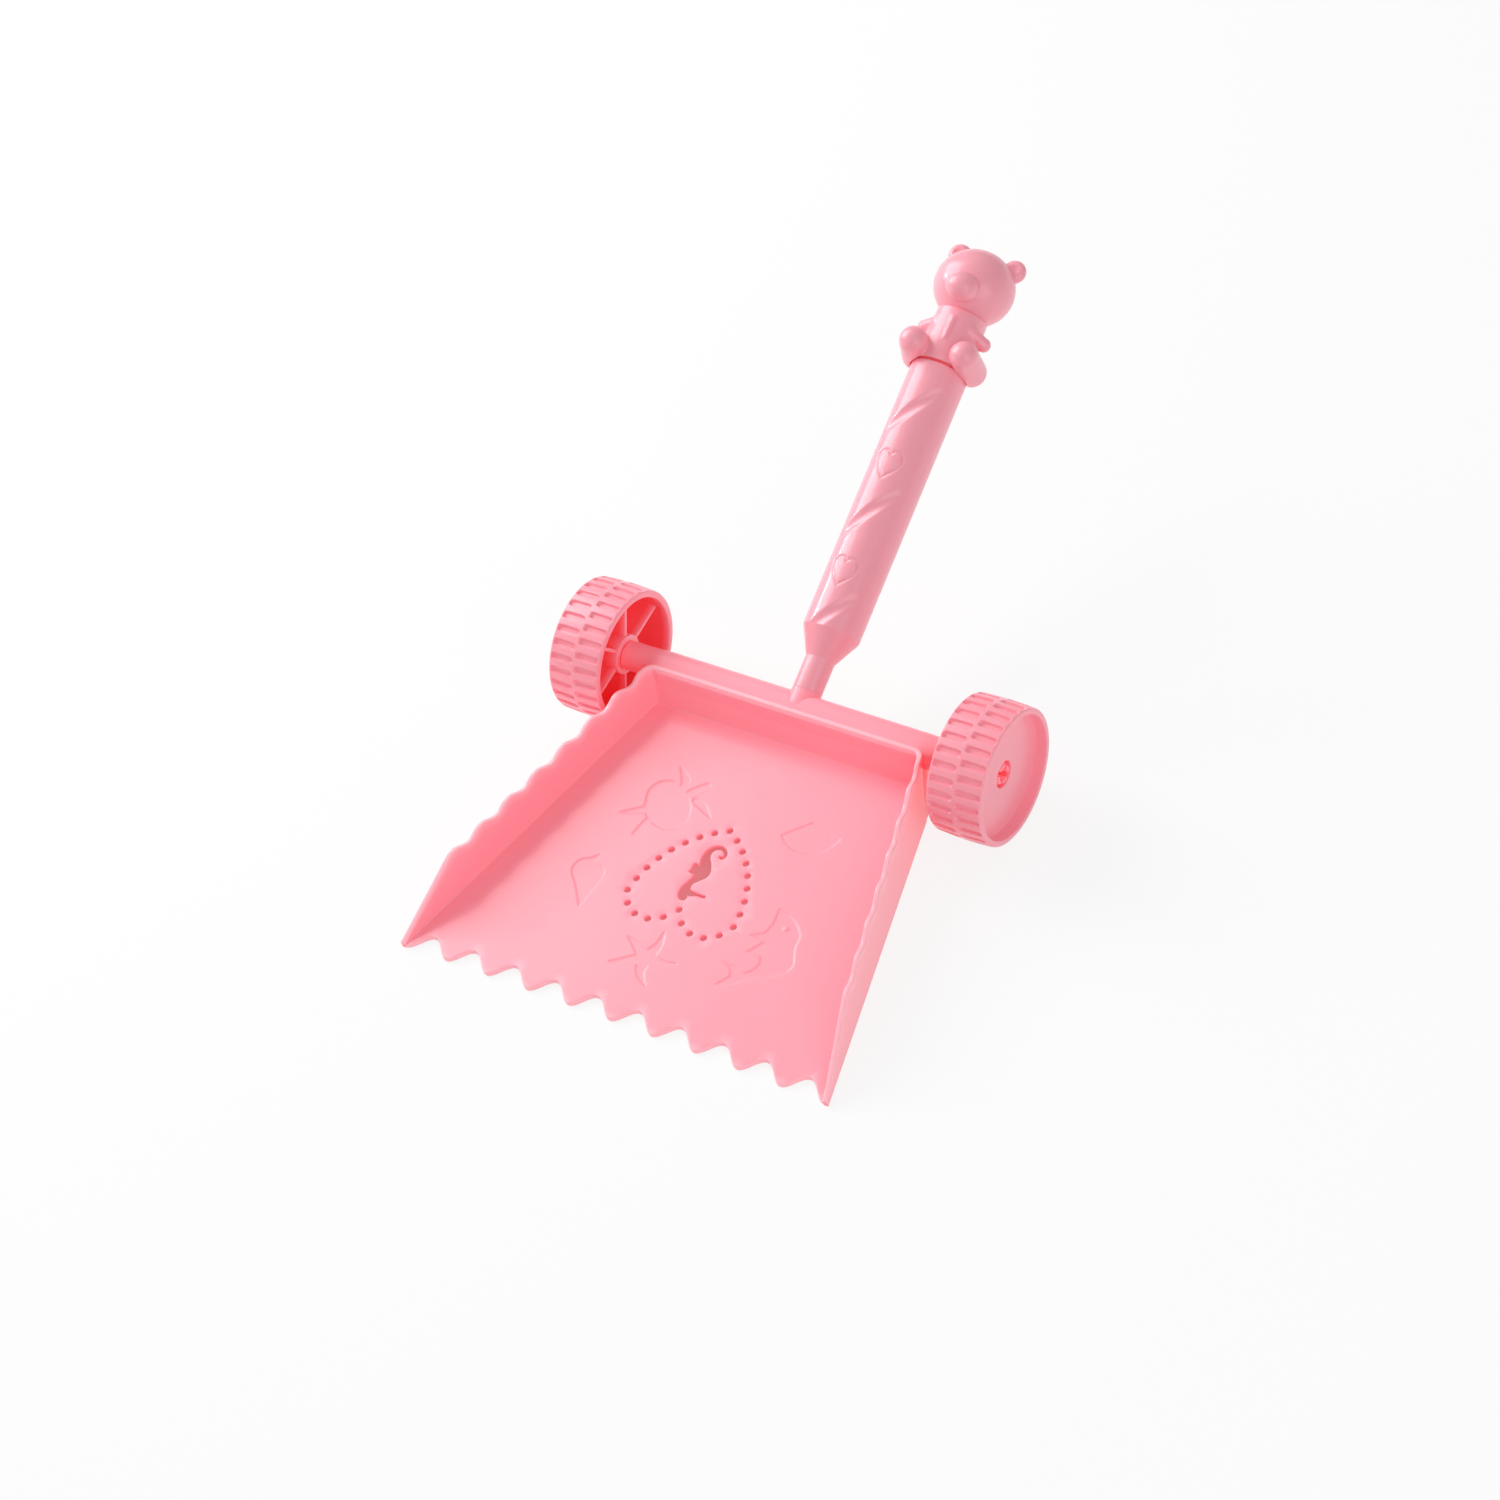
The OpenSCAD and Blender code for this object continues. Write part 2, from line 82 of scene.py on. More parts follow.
class ShovelPanSizes(bpy.types.PropertyGroup):
    """Sizes of the scoop pan and of its axle beam."""
    pan_length: size("Pan length", "Floor length from the back crease to the lip tips", 147)
    lip_half_w: size("Lip half width", "Outer half width of the pan at the lip", 103.5)
    back_half_w: size("Back half width", "Outer half width of the pan at the back crease", 66.2)
    crease_gap: size("Crease distance", "Distance from the axle to the back crease", 11.3)
    ramp_deg: angle("Ramp", "Slope of the floor", 6.3)
    wall_t: size("Wall thickness", "Thickness of walls and floor", 2.2)
    wall_h: size("Side height", "Mean height of the side rims above the floor", 18.8)
    back_h: size("Back height", "Height of the back rim above the crease", 19.5)
    side_lean: angle("Side lean", "Outward lean of the side walls", 4)
    back_lean: angle("Back lean", "Backward lean of the back wall", 8)
    corner_r: size("Corner radius", "Inner radius of the back corners", 3.4)
    crease_r: size("Crease radius", "Fillet between the floor and the walls", 0.8)
    edge_r: size("Rim rounding", "Rounding of the rims", 0.7)
    lip_edge_r: size("Lip rounding", "Rounding of the lip and of the holes", 0.45)
    lip_waves: IntProperty(name="Lip teeth", description="Rounded teeth along the lip", default=10)
    lip_wave_h: size("Lip tooth depth", "Depth of the lip teeth", 7.6)
    lip_bow: size("Lip bow", "How far the middle of the lip is drawn back", 1.2)
    rim_waves: IntProperty(name="Rim waves", description="Crests along each side rim", default=7)
    rim_wave_h: size("Rim wave height", "Height of the rim waves", 2.8)
    rim_start: size("First crest", "Distance from the crease to the first rim crest", 15.7)
    rim_stop: size("Last crest", "Distance from the lip tips to the last rim crest", 36)
    tip_h: size("Tip height", "Height of the side walls at the lip tips", 3)
    taper_lead: size("Taper lead", "Run of the straight taper past the last crest", 3)
    rim_rise: size("Rim rise", "Length of the rise to the back rim", 6)
    drain_d: size("Drain hole", "Diameter of the drain holes", 2.8)
    heart_h: size("Heart height", "Height of the heart of drain holes", 51)
    heart_gap: size("Heart distance", "Distance from the crease to the tip of the heart", 47.2)
    sea_horse_h: size("Sea horse height", "Height of the sea horse cut-out", 28)
    sea_horse_gap: size("Sea horse distance", "Distance from the crease to the sea horse", 69.7)
    relief_depth: size("Relief depth", "Depth of the sunken sea creatures in the floor", 0.34)
    beam_d: size("Beam diameter", "Diameter of the round beam", 13)
    web_h: size("Web height", "Height of the web between beam and back wall", 10)
    web_drop: size("Web drop", "How far the web lies below the back rim", 0.9)
    journal_d: size("Journal diameter", "Diameter of the journals in the wheels", 9.6)
    journal_bore_d: size("Journal bore", "Bore in the ends of the journals", 6.4)
    snap_slot_w: size("Snap slot", "Width of the crossed slots in the journal ends", 2.2)
    snap_slot_length: size("Snap slot length", "Length of the slots behind the snap lip", 9)
    snap_lip: size("Snap lip", "How far the snap lip stands out", 0.8)
    snap_nose: size("Snap nose", "Length of the tapered nose", 2.6)
    end_play: size("End play", "End play of each wheel", 0.35)


class ShovelWheelSizes(bpy.types.PropertyGroup):
    """Sizes of the wheels; place and outer size come from the frame."""
    wheel_d: size("Wheel diameter", "Outer diameter", (WHEEL_HIGH.z - WHEEL_LOW.z) / MM)
    wheel_w: size("Wheel width", "Width of a wheel", (WHEEL_HIGH.x - WHEEL_LOW.x) / MM)
    wheel_start: size("Wheel place", "Distance from the middle to a wheel's inner face", WHEEL_LOW.x / MM)
    rim_t: size("Rim thickness", "Thickness of the rim", 3.6)
    crown: size("Crown", "Crown of the tread", 0.4)
    shoulder_r: size("Shoulder radius", "Radius of the tread's shoulders", 1)
    dish_depth: size("Dish depth", "Depth of the dish in the outer face", 5.2)
    dish_border: size("Dish border", "Width of the border round the dish", 3.3)
    disc_t: size("Disc thickness", "Thickness of the disc", 2.6)
    hub_wall: size("Hub wall", "Wall thickness of the hub sleeve", 4)
    hub_recess: size("Hub recess", "How far the hub stays behind the inner face", 4)
    run_clearance: size("Running clearance", "Radial clearance on the journal", 0.08)
    nose_clearance: size("Nose room", "Radial room around the snap lip", 0.3)
    wheel_ribs: IntProperty(name="Ribs", description="Ribs behind the disc", default=6)
    rib_t: size("Rib thickness", "Thickness of the ribs", 1.8)
    rib_recess: size("Rib recess", "How far the ribs stay behind the inner face", 5)
    tread_slots: IntProperty(name="Tread slots", description="Slots in each row of the tread", default=30)
    slot_w: size("Slot width", "Width of the tread slots", 2.8)
    slot_depth: size("Slot depth", "Depth of the tread slots", 1.4)
    slot_land: size("Slot land", "Land between the two rows", 1.5)
    slot_edge: size("Slot edge", "Distance from a slot to the wheel's face", 0.8)
    edge_r: size("Edge rounding", "Rounding of the moulded edges", 0.4)


class ShovelGripSizes(bpy.types.PropertyGroup):
    """Sizes of the grip; lengths run along its axis from the axle."""
    grip_deg: angle("Grip angle", "Angle of the grip above the ground", 26.8)
    grip_shift: size("Grip offset", "Offset of the grip from the middle of the beam", 2.5)
    grip_d: size("Grip diameter", "Outer diameter of the tube", 25.4)
    grip_wall: size("Grip wall", "Wall thickness of the tube", 2)
    spigot_d: size("Spigot", "Diameter of the spigot in the beam", 8)
    spigot_length: size("Spigot length", "Length of the spigot", 10)
    neck_d: size("Neck diameter", "Diameter of the neck", 13)
    neck_start: size("Neck start", "Distance from the axle to the neck", 8)
    neck_length: size("Neck length", "Length of the neck", 14.7)
    cone_length: size("Cone length", "Length of the cone", 12.2)
    grip_length: size("Tube length", "Length of the tube above its cone", 123.3)
    groove_depth: size("Groove depth", "Depth of the slanted leaf grooves", 1.1)
    groove_r: size("Groove radius", "Rounding radius across a groove", 5)
    groove_bend: size("Groove bend", "Bend radius along a groove", 35)
    groove_pitch: size("Groove pitch", "Distance from groove to groove", 48)
    groove_start: size("Groove start", "Distance from the cone to the first groove", 3.5)
    heart_w: size("Heart width", "Width of the engraved hearts", 11.9)
    heart_first: size("First heart", "Distance from the axle to the lower heart", 60)
    heart_pitch: size("Heart pitch", "Distance between the hearts", 49.7)
    heart_depth: size("Heart depth", "Depth of the engraved line", 0.42)
    heart_line: size("Heart line", "Width of the engraved line", 1.2)


class ShovelBearSizes(bpy.types.PropertyGroup):
    """Sizes of the seated bear; heights are measured from the end of the grip."""
    bear_turn: angle("Turn", "Turn of the bear about the grip", 9)
    plug_length: size("Plug length", "Length of the plug in the grip", 12)
    seam_gap: size("Seam", "Height of the shadow gap under the bear", 1)
    body_h: size("Body height", "Height from the grip to the chin", 22.6)
    belly_r: size("Belly radius", "Radius of the belly", 13.4)
    throat_r: size("Throat radius", "Radius of the neck", 11.3)
    head_r: size("Head half width", "Half width of the head", 17.8)
    head_half_h: size("Head half height", "Half height of the head", 16.7)
    muzzle_r: size("Muzzle radius", "Radius of the muzzle", 6.8)
    muzzle_out: size("Muzzle reach", "How far the muzzle stands out", 5.3)
    ear_r: size("Ear radius", "Radius of the ears", 5.2)
    ear_t: size("Ear thickness", "Half thickness of the ears", 3.2)
    thigh_r: size("Thigh radius", "Radius of the thighs", 6.6)
    foot_r: size("Foot radius", "Radius of the feet", 6.2)
    foot_reach: size("Foot reach", "How far the feet reach to the front", 14)
    arm_r: size("Arm radius", "Radius of the arms at the shoulder", 2.3)
    hand_r: size("Hand radius", "Radius of the hands", 3.1)
    mesh_step: size("Mesh step", "Size of the cells that the figure is meshed with", 0.4)


class ShovelFinish(bpy.types.PropertyGroup):
    """Colours and gloss of the mouldings."""
    pan_colour: colour("Pan colour", "Colour of the pan", (0.97, 0.4, 0.485))
    wheel_colour: colour("Wheel colour", "Colour of the wheels", (0.93, 0.4, 0.485))
    grip_colour: colour("Grip colour", "Colour of the grip and the bear", (0.92, 0.41, 0.495))
    pan_roughness: FloatProperty(name="Pan roughness", description="Roughness of the satin mouldings",
                                 default=0.29, min=0.0, max=1.0, subtype="FACTOR")
    grip_roughness: FloatProperty(name="Grip roughness", description="Roughness of the glossy mouldings",
                                  default=0.34, min=0.0, max=1.0, subtype="FACTOR")


class ShovelStage(bpy.types.PropertyGroup):
    """Camera and light of the stage."""
    lens: FloatProperty(name="Lens", description="Focal length of the camera in millimetres", default=86.29)
    azimuth: angle("Azimuth", "Direction the camera looks from", 40.86)
    elevation: angle("Elevation", "Height of the camera above the horizon", 45.62)
    roll: angle("Roll", "Turn of the camera about its axis", -13.58)
    distance: size("Distance", "Distance from the camera to its target", 1486)
    target: FloatVectorProperty(name="Target", description="Point that the camera looks at", size=3,
                                default=(-0.62 * MM, -33.5 * MM, 37.14 * MM), subtype="XYZ", unit="LENGTH")
    sky: FloatProperty(name="Sky light", default=0.42, description="Strength of the even light all round")
    key: FloatProperty(name="Key light", default=18, description="Power of the large key light in watts")
    side: FloatProperty(name="Side light", default=2, description="Power of the low left light in watts")
    fill: FloatProperty(name="Fill light", default=7.5, description="Power of the fill light in watts")


GROUPS = {
    "shovel_pan": ShovelPanSizes,
    "shovel_wheel": ShovelWheelSizes,
    "shovel_grip": ShovelGripSizes,
    "shovel_bear": ShovelBearSizes,
    "shovel_finish": ShovelFinish,
    "shovel_stage": ShovelStage,
}


def values(scene, name):
    """Values of one property group, with lengths in millimetres."""
    group = getattr(scene, name)
    found = SimpleNamespace()
    for key in GROUPS[name].__annotations__:
        entry = group.bl_rna.properties[key]
        is_length = entry.unit == "LENGTH" and entry.array_length == 0
        setattr(found, key, getattr(group, key) / MM if is_length else getattr(group, key))
    return found


# Meshes

def grid_faces(rows, columns, close_rows=False, close_columns=False):
    """Quads between neighbouring points of a grid that is counted row by row."""
    down = np.arange(rows if close_rows else rows - 1)
    across = np.arange(columns if close_columns else columns - 1)
    i, j = np.meshgrid(down, across, indexing="ij")
    below, beside = (i + 1) % rows, (j + 1) % columns
    corners = [i * columns + j, below * columns + j, below * columns + beside, i * columns + beside]
    return np.stack(corners, -1).reshape(-1, 4)


def sheet(points, close_rows=False, close_columns=False):
    """Part of a mesh from a grid of points: the points and the quads between them."""
    rows, columns = points.shape[:2]
    return points.reshape(-1, 3), [grid_faces(rows, columns, close_rows, close_columns)]


def capped(points):
    """Rows of closed sections with the middle of the end sections added at both ends, which closes them."""
    first = np.broadcast_to(points[:1].mean(1, keepdims=True), points[:1].shape)
    last = np.broadcast_to(points[-1:].mean(1, keepdims=True), points[-1:].shape)
    return sheet(np.concatenate([first, points, last]), close_columns=True)


def fill_mesh(mesh, parts):
    """Write parts, each with its points in millimetres and its arrays of faces, into one mesh."""
    offsets = np.cumsum([0] + [len(points) for points, _ in parts])
    blocks = [face + start for (_, faces), start in zip(parts, offsets) for face in faces]
    counts = np.concatenate([np.full(len(block), block.shape[1]) for block in blocks])
    corners = np.concatenate([block.ravel() for block in blocks])
    mesh.vertices.add(offsets[-1])
    mesh.vertices.foreach_set("co", np.concatenate([points for points, _ in parts]).ravel() * MM)
    mesh.loops.add(len(corners))
    mesh.loops.foreach_set("vertex_index", corners.astype(np.int32))
    mesh.polygons.add(len(counts))
    mesh.polygons.foreach_set("loop_start", np.concatenate([[0], np.cumsum(counts)[:-1]]).astype(np.int32))
    mesh.update(calc_edges=True)


def mark_points(mesh, label, shade):
    """Store a value from 0 to 1 at each point of a mesh, worked out from the points in millimetres."""
    places = np.empty(3 * len(mesh.vertices))
    mesh.vertices.foreach_get("co", places)
    mark = mesh.attributes.new(label, "FLOAT", "POINT")
    mark.data.foreach_set("value", shade(places.reshape(-1, 3) / MM))


def make_piece(name, parts, body, material, replaced, sharp_deg=38, marks=()):
    """Object of closed parts that rides on a body: doubles are merged and all faces turned outwards."""
    mesh = bpy.data.meshes.new(name)
    fill_mesh(mesh, parts)
    work = bmesh.new()
    work.from_mesh(mesh)
    bmesh.ops.remove_doubles(work, verts=work.verts, dist=2e-3 * MM)
    bmesh.ops.dissolve_degenerate(work, edges=work.edges, dist=1e-3 * MM)
    bmesh.ops.recalc_face_normals(work, faces=work.faces)
    work.to_mesh(mesh)
    work.free()
    mesh.polygons.foreach_set("use_smooth", np.ones(len(mesh.polygons), bool))
    mesh.set_sharp_from_angle(angle=math.radians(sharp_deg))
    for label, shade in marks:
        mark_points(mesh, label, shade)
    mesh.materials.append(material)
    piece = bpy.data.objects.new(name, mesh)
    bpy.context.scene.collection.objects.link(piece)
    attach(piece, body)
    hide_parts(replaced)


# Curves and profiles

def smooth(t):
    """Smooth step from 0 to 1."""
    t = np.clip(t, 0, 1)
    return t * t * (3 - 2 * t)


def wave(low, high, t):
    """Cosine wave that is low at even and high at odd whole numbers."""
    return low + (high - low) * (1 - np.cos(np.pi * t)) / 2


def soft_max(a, b, reach):
    """Larger of two values with a round transition where they differ by less than reach."""
    h = np.maximum(reach - np.abs(a - b), 0) / reach
    return np.maximum(a, b) + h * h * reach / 4


def soft_min(a, b, reach):
    """Smaller of two values with a round transition."""
    return -soft_max(-a, -b, reach)


def rounded(corners, steps=5):
    """Closed profile whose corners, each written as (a, b, radius), are replaced by tangent arcs."""
    rows = np.array(corners, float)
    points = rows[:, :2]
    before = np.roll(points, 1, 0) - points
    after = np.roll(points, -1, 0) - points
    run_in = np.linalg.norm(before, axis=1)
    run_out = np.linalg.norm(after, axis=1)
    u, v = before / run_in[:, None], after / run_out[:, None]
    half = np.arccos(np.clip((u * v).sum(1), -1, 1)) / 2
    reach = np.minimum(rows[:, 2] / np.tan(half), 0.49 * np.minimum(run_in, run_out))
    radius = reach * np.tan(half)
    middle = (u + v) / np.maximum(np.linalg.norm(u + v, axis=1), 1e-9)[:, None]
    centre = points + middle * (radius / np.sin(half))[:, None]
    start = points + u * reach[:, None] - centre
    stop = points + v * reach[:, None] - centre
    t = np.linspace(0, 1, steps + 1)[None, :, None]
    chord = start[:, None] * (1 - t) + stop[:, None] * t
    scale = radius[:, None] / np.maximum(np.linalg.norm(chord, axis=2), 1e-9)
    arcs = centre[:, None] + chord * scale[..., None]
    flat = rows[:, 2] <= 0
    arcs[flat] = points[flat][:, None]
    return [arcs[i, :1] if flat[i] else arcs[i] for i in range(len(rows))]


def spread(points, gap):
    """The same line with points added so that no stretch is longer than gap."""
    steps = np.linalg.norm(np.diff(points, axis=0), axis=1)
    counts = np.maximum(np.ceil(steps / gap).astype(int), 1)
    place = np.concatenate([[0], np.cumsum(steps)])
    parts = [np.linspace(place[i], place[i + 1], n, endpoint=False) for i, n in enumerate(counts)]
    wanted = np.append(np.concatenate(parts), place[-1])
    return np.stack([np.interp(wanted, place, points[:, k]) for k in range(points.shape[1])], -1)


def around_x(profile, columns, height):
    """Profile of (x, radius) carried round the axle: y = -r sin a, z = height + r cos a."""
    a = np.linspace(0, 2 * np.pi, columns, endpoint=False)
    x, r = profile[:, :1], profile[:, 1:2]
    return np.stack(np.broadcast_arrays(x, -r * np.sin(a), height + r * np.cos(a)), -1)


def around_grip(profile, columns):
    """Profile of (radius, distance along the grip) carried round the grip's own axis."""
    a = np.linspace(0, 2 * np.pi, columns, endpoint=False)
    r, s = profile[:, :1], profile[:, 1:2]
    return np.stack(np.broadcast_arrays(r * np.cos(a), r * np.sin(a), s), -1)


def grip_values(scene):
    """Sizes of the grip in millimetres, with the places of cone, tube and seam along its axis."""
    g = values(scene, "shovel_grip")
    g.cone = g.neck_start + g.neck_length
    g.tube = g.cone + g.cone_length
    g.seam = g.tube + g.grip_length
    g.grip_r = g.grip_d / 2
    g.bore_r = g.grip_r - g.grip_wall
    g.neck_r = g.neck_d / 2
    return g


def grip_place(scene, points):
    """Points of the grip's frame moved to its place: the axis leaves the axle at the grip angle."""
    g = values(scene, "shovel_grip")
    axle_z = values(scene, "shovel_wheel").wheel_d / 2
    up, along = math.sin(g.grip_deg), math.cos(g.grip_deg)
    frame_rows = np.array([[1, 0, 0], [0, up, -along], [0, along, up]])
    return points @ frame_rows + np.array([g.grip_shift, 0, axle_z])


def curve_through(points, steps):
    """Smooth open curve through points: cubic between two points, with slopes from their neighbours."""
    p = np.asarray(points, float)
    a, b, c, d = np.vstack([p[:1], p[:-2]]), p[:-1], p[1:], np.vstack([p[2:], p[-1:]])
    t = np.linspace(0, 1, steps, endpoint=False)[None, :, None]
    a, b, c, d = (q[:, None] for q in (a, b, c, d))
    square = 2 * a - 5 * b + 4 * c - d
    cube = 3 * b - a - 3 * c + d
    inner = b + t / 2 * (c - a) + t * t / 2 * square + t ** 3 / 2 * cube
    return np.vstack([inner.reshape(-1, p.shape[1]), p[-1:]])


def stroke_outline(line):
    """Outline of a tapering stroke: the line of (x, y, half width) moved to both sides."""
    ahead = np.gradient(line[:, :2], axis=0)
    ahead /= np.linalg.norm(ahead, axis=1, keepdims=True)
    side = np.stack([-ahead[:, 1], ahead[:, 0]], -1) * line[:, 2:]
    return np.vstack([line[:, :2] + side, (line[:, :2] - side)[::-1]])


def stroke_distance(points, line):
    """Distance from points to a tapering stroke, negative inside: the nearest stretch less its width."""
    a, b = line[:-1], line[1:]
    run = (b - a)[None, :, :2]
    t = ((points[:, None] - a[None, :, :2]) * run).sum(-1) / (run * run).sum(-1)
    t = np.clip(t, 0, 1)
    near = a[None, :, :2] + t[..., None] * run
    width = a[None, :, 2] + t * (b[:, 2] - a[:, 2])[None]
    return (np.linalg.norm(points[:, None] - near, axis=-1) - width).min(1)


def is_inside(points, outline):
    """Which points lie inside a closed outline: a ray to the right crosses it an odd number of times."""
    a, b = outline, np.roll(outline, -1, 0)
    found = np.zeros(len(points), bool)
    low, high = outline.min(0), outline.max(0)
    near = np.flatnonzero(((points >= low) & (points <= high)).all(1))
    for part in np.array_split(near, max(1, len(near) // 3000)):
        x, y = points[part, :1], points[part, 1:]
        spans = (a[:, 1] > y) != (b[:, 1] > y)
        rise = np.where(a[:, 1] == b[:, 1], 1, b[:, 1] - a[:, 1])
        cross = a[:, 0] + (y - a[:, 1]) * (b[:, 0] - a[:, 0]) / rise
        found[part] = (spans & (x < cross)).sum(1) % 2 == 1
    return found


def outline_distance(points, outline):
    """Distance from points to a closed outline, negative inside it."""
    line = np.column_stack([np.vstack([outline, outline[:1]]), np.zeros(len(outline) + 1)])
    return np.where(is_inside(points, outline), -1, 1) * stroke_distance(points, line)


def plate(outer, holes, inner_points, top, bottom, edge_r):
    """Flat plate with holes and rounded edges.

    The outline, the holes and the inner points are triangulated in plan. The plan is lifted to the top and
    to the bottom surface, given as functions of x and y; points on an edge are drawn in by the edge radius,
    and quarter rounds and a straight band close the plate along every edge.
    """
    loops = [outer] + holes
    sizes = [len(loop) for loop in loops]
    starts = np.cumsum([0] + sizes[:-1])
    edges = np.vstack([np.stack([np.arange(n), (np.arange(n) + 1) % n], -1) + start
                       for n, start in zip(sizes, starts)])
    flat = [Vector(p) for p in np.vstack(loops + [inner_points])]
    verts, _, faces, _, _, _ = delaunay_2d_cdt(flat, edges.tolist(), [], 0, 1e-5)
    xy = np.array([tuple(v) for v in verts])
    tris = np.array(faces)
    middle = xy[tris].mean(1)
    keep = is_inside(middle, outer)
    for hole in holes:
        keep &= ~is_inside(middle, hole)
    tris = tris[keep]
    area = np.cross(xy[tris[:, 1]] - xy[tris[:, 0]], xy[tris[:, 2]] - xy[tris[:, 0]])
    tris[area < 0] = tris[area < 0][:, ::-1]
    sides = np.concatenate([tris[:, [0, 1]], tris[:, [1, 2]], tris[:, [2, 0]]])
    keys = np.sort(sides, 1)
    _, index, count = np.unique(keys, axis=0, return_index=True, return_counts=True)
    rim = sides[index[count == 1]]
    run = xy[rim[:, 1]] - xy[rim[:, 0]]
    inward = np.stack([-run[:, 1], run[:, 0]], -1) / np.linalg.norm(run, axis=1, keepdims=True)
    normal = np.zeros_like(xy)
    np.add.at(normal, rim[:, 0], inward)
    np.add.at(normal, rim[:, 1], inward)
    length = np.linalg.norm(normal, axis=1, keepdims=True)
    normal = np.where(length > 0.5, normal * 2 / np.maximum(length, 0.5) ** 2, 0)
    a = np.linspace(0, np.pi / 2, 5)
    rings = []
    for surface, way in ((top, -1), (bottom, 1)):
        for k in a:
            place = xy + normal * edge_r * (1 - np.cos(k))
            rings.append(np.column_stack([place, surface(place) + way * edge_r * (1 - np.sin(k))]))
    steps = len(a)
    order = list(range(steps - 1, -1, -1)) + list(range(steps, 2 * steps))
    n = len(xy)
    bands = [np.stack([rim[:, 0] + n * p, rim[:, 0] + n * q, rim[:, 1] + n * q, rim[:, 1] + n * p], -1)
             for p, q in zip(order[:-1], order[1:])]
    used = np.vstack(rings)
    faces = [tris + n * (steps - 1), tris[:, ::-1] + n * (2 * steps - 1)] + bands
    wanted = np.unique(np.concatenate([f.ravel() for f in faces]))
    back = np.full(len(used), -1)
    back[wanted] = np.arange(len(wanted))
    return used[wanted], [back[f] for f in faces]


def surface_net(field, low, high, step):
    """Closed mesh of the surface where a field is zero; the field is negative inside.

    Space is cut into cubes. A cube that the surface crosses gets one point, the mean of the crossings on its
    edges, and each crossed edge gets a quad between the four cubes around it. The points are then moved
    along the field's slope until the field is about zero there.
    """
    axes = [np.arange(a, b + step, step) for a, b in zip(low, high)]
    corners = np.stack(np.meshgrid(*axes, indexing="ij"), -1)
    value = field(corners.reshape(-1, 3)).reshape(corners.shape[:3])
    cells = np.array(value.shape) - 1
    total = np.zeros((*cells, 3))
    count = np.zeros(cells)
    crossings = []
    for axis in range(3):
        ahead = np.moveaxis(value, axis, 0)
        a, b = ahead[:-1], ahead[1:]
        crossed = (a < 0) != (b < 0)
        t = np.where(crossed, a / np.where(crossed, a - b, 1), 0)
        crossings.append(crossed)
        others = [k for k in range(3) if k != axis]
        for du in (0, 1):
            for dv in (0, 1):
                part = (slice(None), slice(du, du + cells[others[0]]), slice(dv, dv + cells[others[1]]))
                hit = crossed[part]
                moved_total = np.moveaxis(total, axis, 0)
                moved_total[..., axis] += t[part]
                moved_total[..., others[0]] += du * hit
                moved_total[..., others[1]] += dv * hit
                np.moveaxis(count, axis, 0)[...] += hit
    filled = np.argwhere(count > 0)
    number = np.full(cells, -1)
    number[tuple(filled.T)] = np.arange(len(filled))
    points = low + step * (filled + total[tuple(filled.T)] / count[tuple(filled.T)][:, None])
    quads = []
    for axis, crossed in enumerate(crossings):
        around = np.moveaxis(number, axis, 0)
        i, j, k = np.nonzero(crossed[:, 1:-1, 1:-1])
        ring = [around[i, j, k], around[i, j + 1, k], around[i, j + 1, k + 1], around[i, j, k + 1]]
        quads.append(np.stack(ring, -1))
    nudge, least_slope, rounds = 0.02, 0.2, 3
    for _ in range(rounds):
        here = field(points)
        slope = np.stack([field(points + nudge * axis) - here for axis in np.eye(3)], -1) / nudge
        move = np.clip(here / np.maximum((slope * slope).sum(1), least_slope), -step / 2, step / 2)
        points = points - slope * move[:, None]
    return points, [np.vstack(quads)]


# Pan

def pan_values(scene):
    """Sizes of the pan in millimetres, with those that follow from them."""
    p = values(scene, "shovel_pan")
    w = values(scene, "shovel_wheel")
    p.axle_z = w.wheel_d / 2
    p.crease_y = -p.crease_gap
    p.lip_y = p.crease_y - p.pan_length
    p.slope = (p.lip_half_w - p.back_half_w) / p.pan_length
    p.stretch = math.hypot(1, p.slope)
    p.ramp = math.tan(p.ramp_deg)
    p.crease_z = floor_z(p, p.crease_y)
    p.rim_z = p.crease_z + p.back_h
    p.first_crest_y = p.crease_y - p.rim_start
    p.last_crest_y = p.lip_y + p.rim_stop
    p.crest_pitch = (p.first_crest_y - p.last_crest_y) / (p.rim_waves - 1)
    p.tooth_pitch = 2 * (p.lip_half_w - p.wall_t) / p.lip_waves
    p.beam_r = p.beam_d / 2
    p.journal_r = p.journal_d / 2
    p.disc_end = w.wheel_start + w.wheel_w - w.dish_depth
    p.beam_end = w.wheel_start + w.hub_recess - p.end_play
    p.snap_start = p.disc_end - p.snap_nose
    return p


def floor_z(p, y):
    """Height of the ramped floor: wall thickness at the lip, rising with the ramp towards the back."""
    return p.wall_t + p.ramp * (y - p.lip_y)


def crest_z(p, y):
    """Height of the wavy side rim: a cosine wave on a line that runs along the floor."""
    phase = 2 * np.pi * (y - p.first_crest_y) / p.crest_pitch
    return floor_z(p, y) + p.wall_h + p.rim_wave_h / 2 * np.cos(phase)


def side_rim_z(p, y):
    """Rim height along the pan: straight taper behind the lip, waves, then a smooth rise to the back."""
    taper_y = p.last_crest_y - p.taper_lead
    valley_y = p.first_crest_y + p.crest_pitch / 2
    taper = p.tip_h + (crest_z(p, taper_y) - p.tip_h) * (y - p.lip_y) / (taper_y - p.lip_y)
    rise = wave(crest_z(p, valley_y), p.rim_z, np.clip((y - valley_y) / p.rim_rise, 0, 1))
    return np.where(y < taper_y, taper, np.where(y < valley_y, crest_z(p, y), rise))


def side_face(p, z):
    """Distance of the side wall's inner face from the pan's middle, at the axle and at height z."""
    return p.back_half_w + p.slope * p.crease_y + math.tan(p.side_lean) * z - p.wall_t * p.stretch


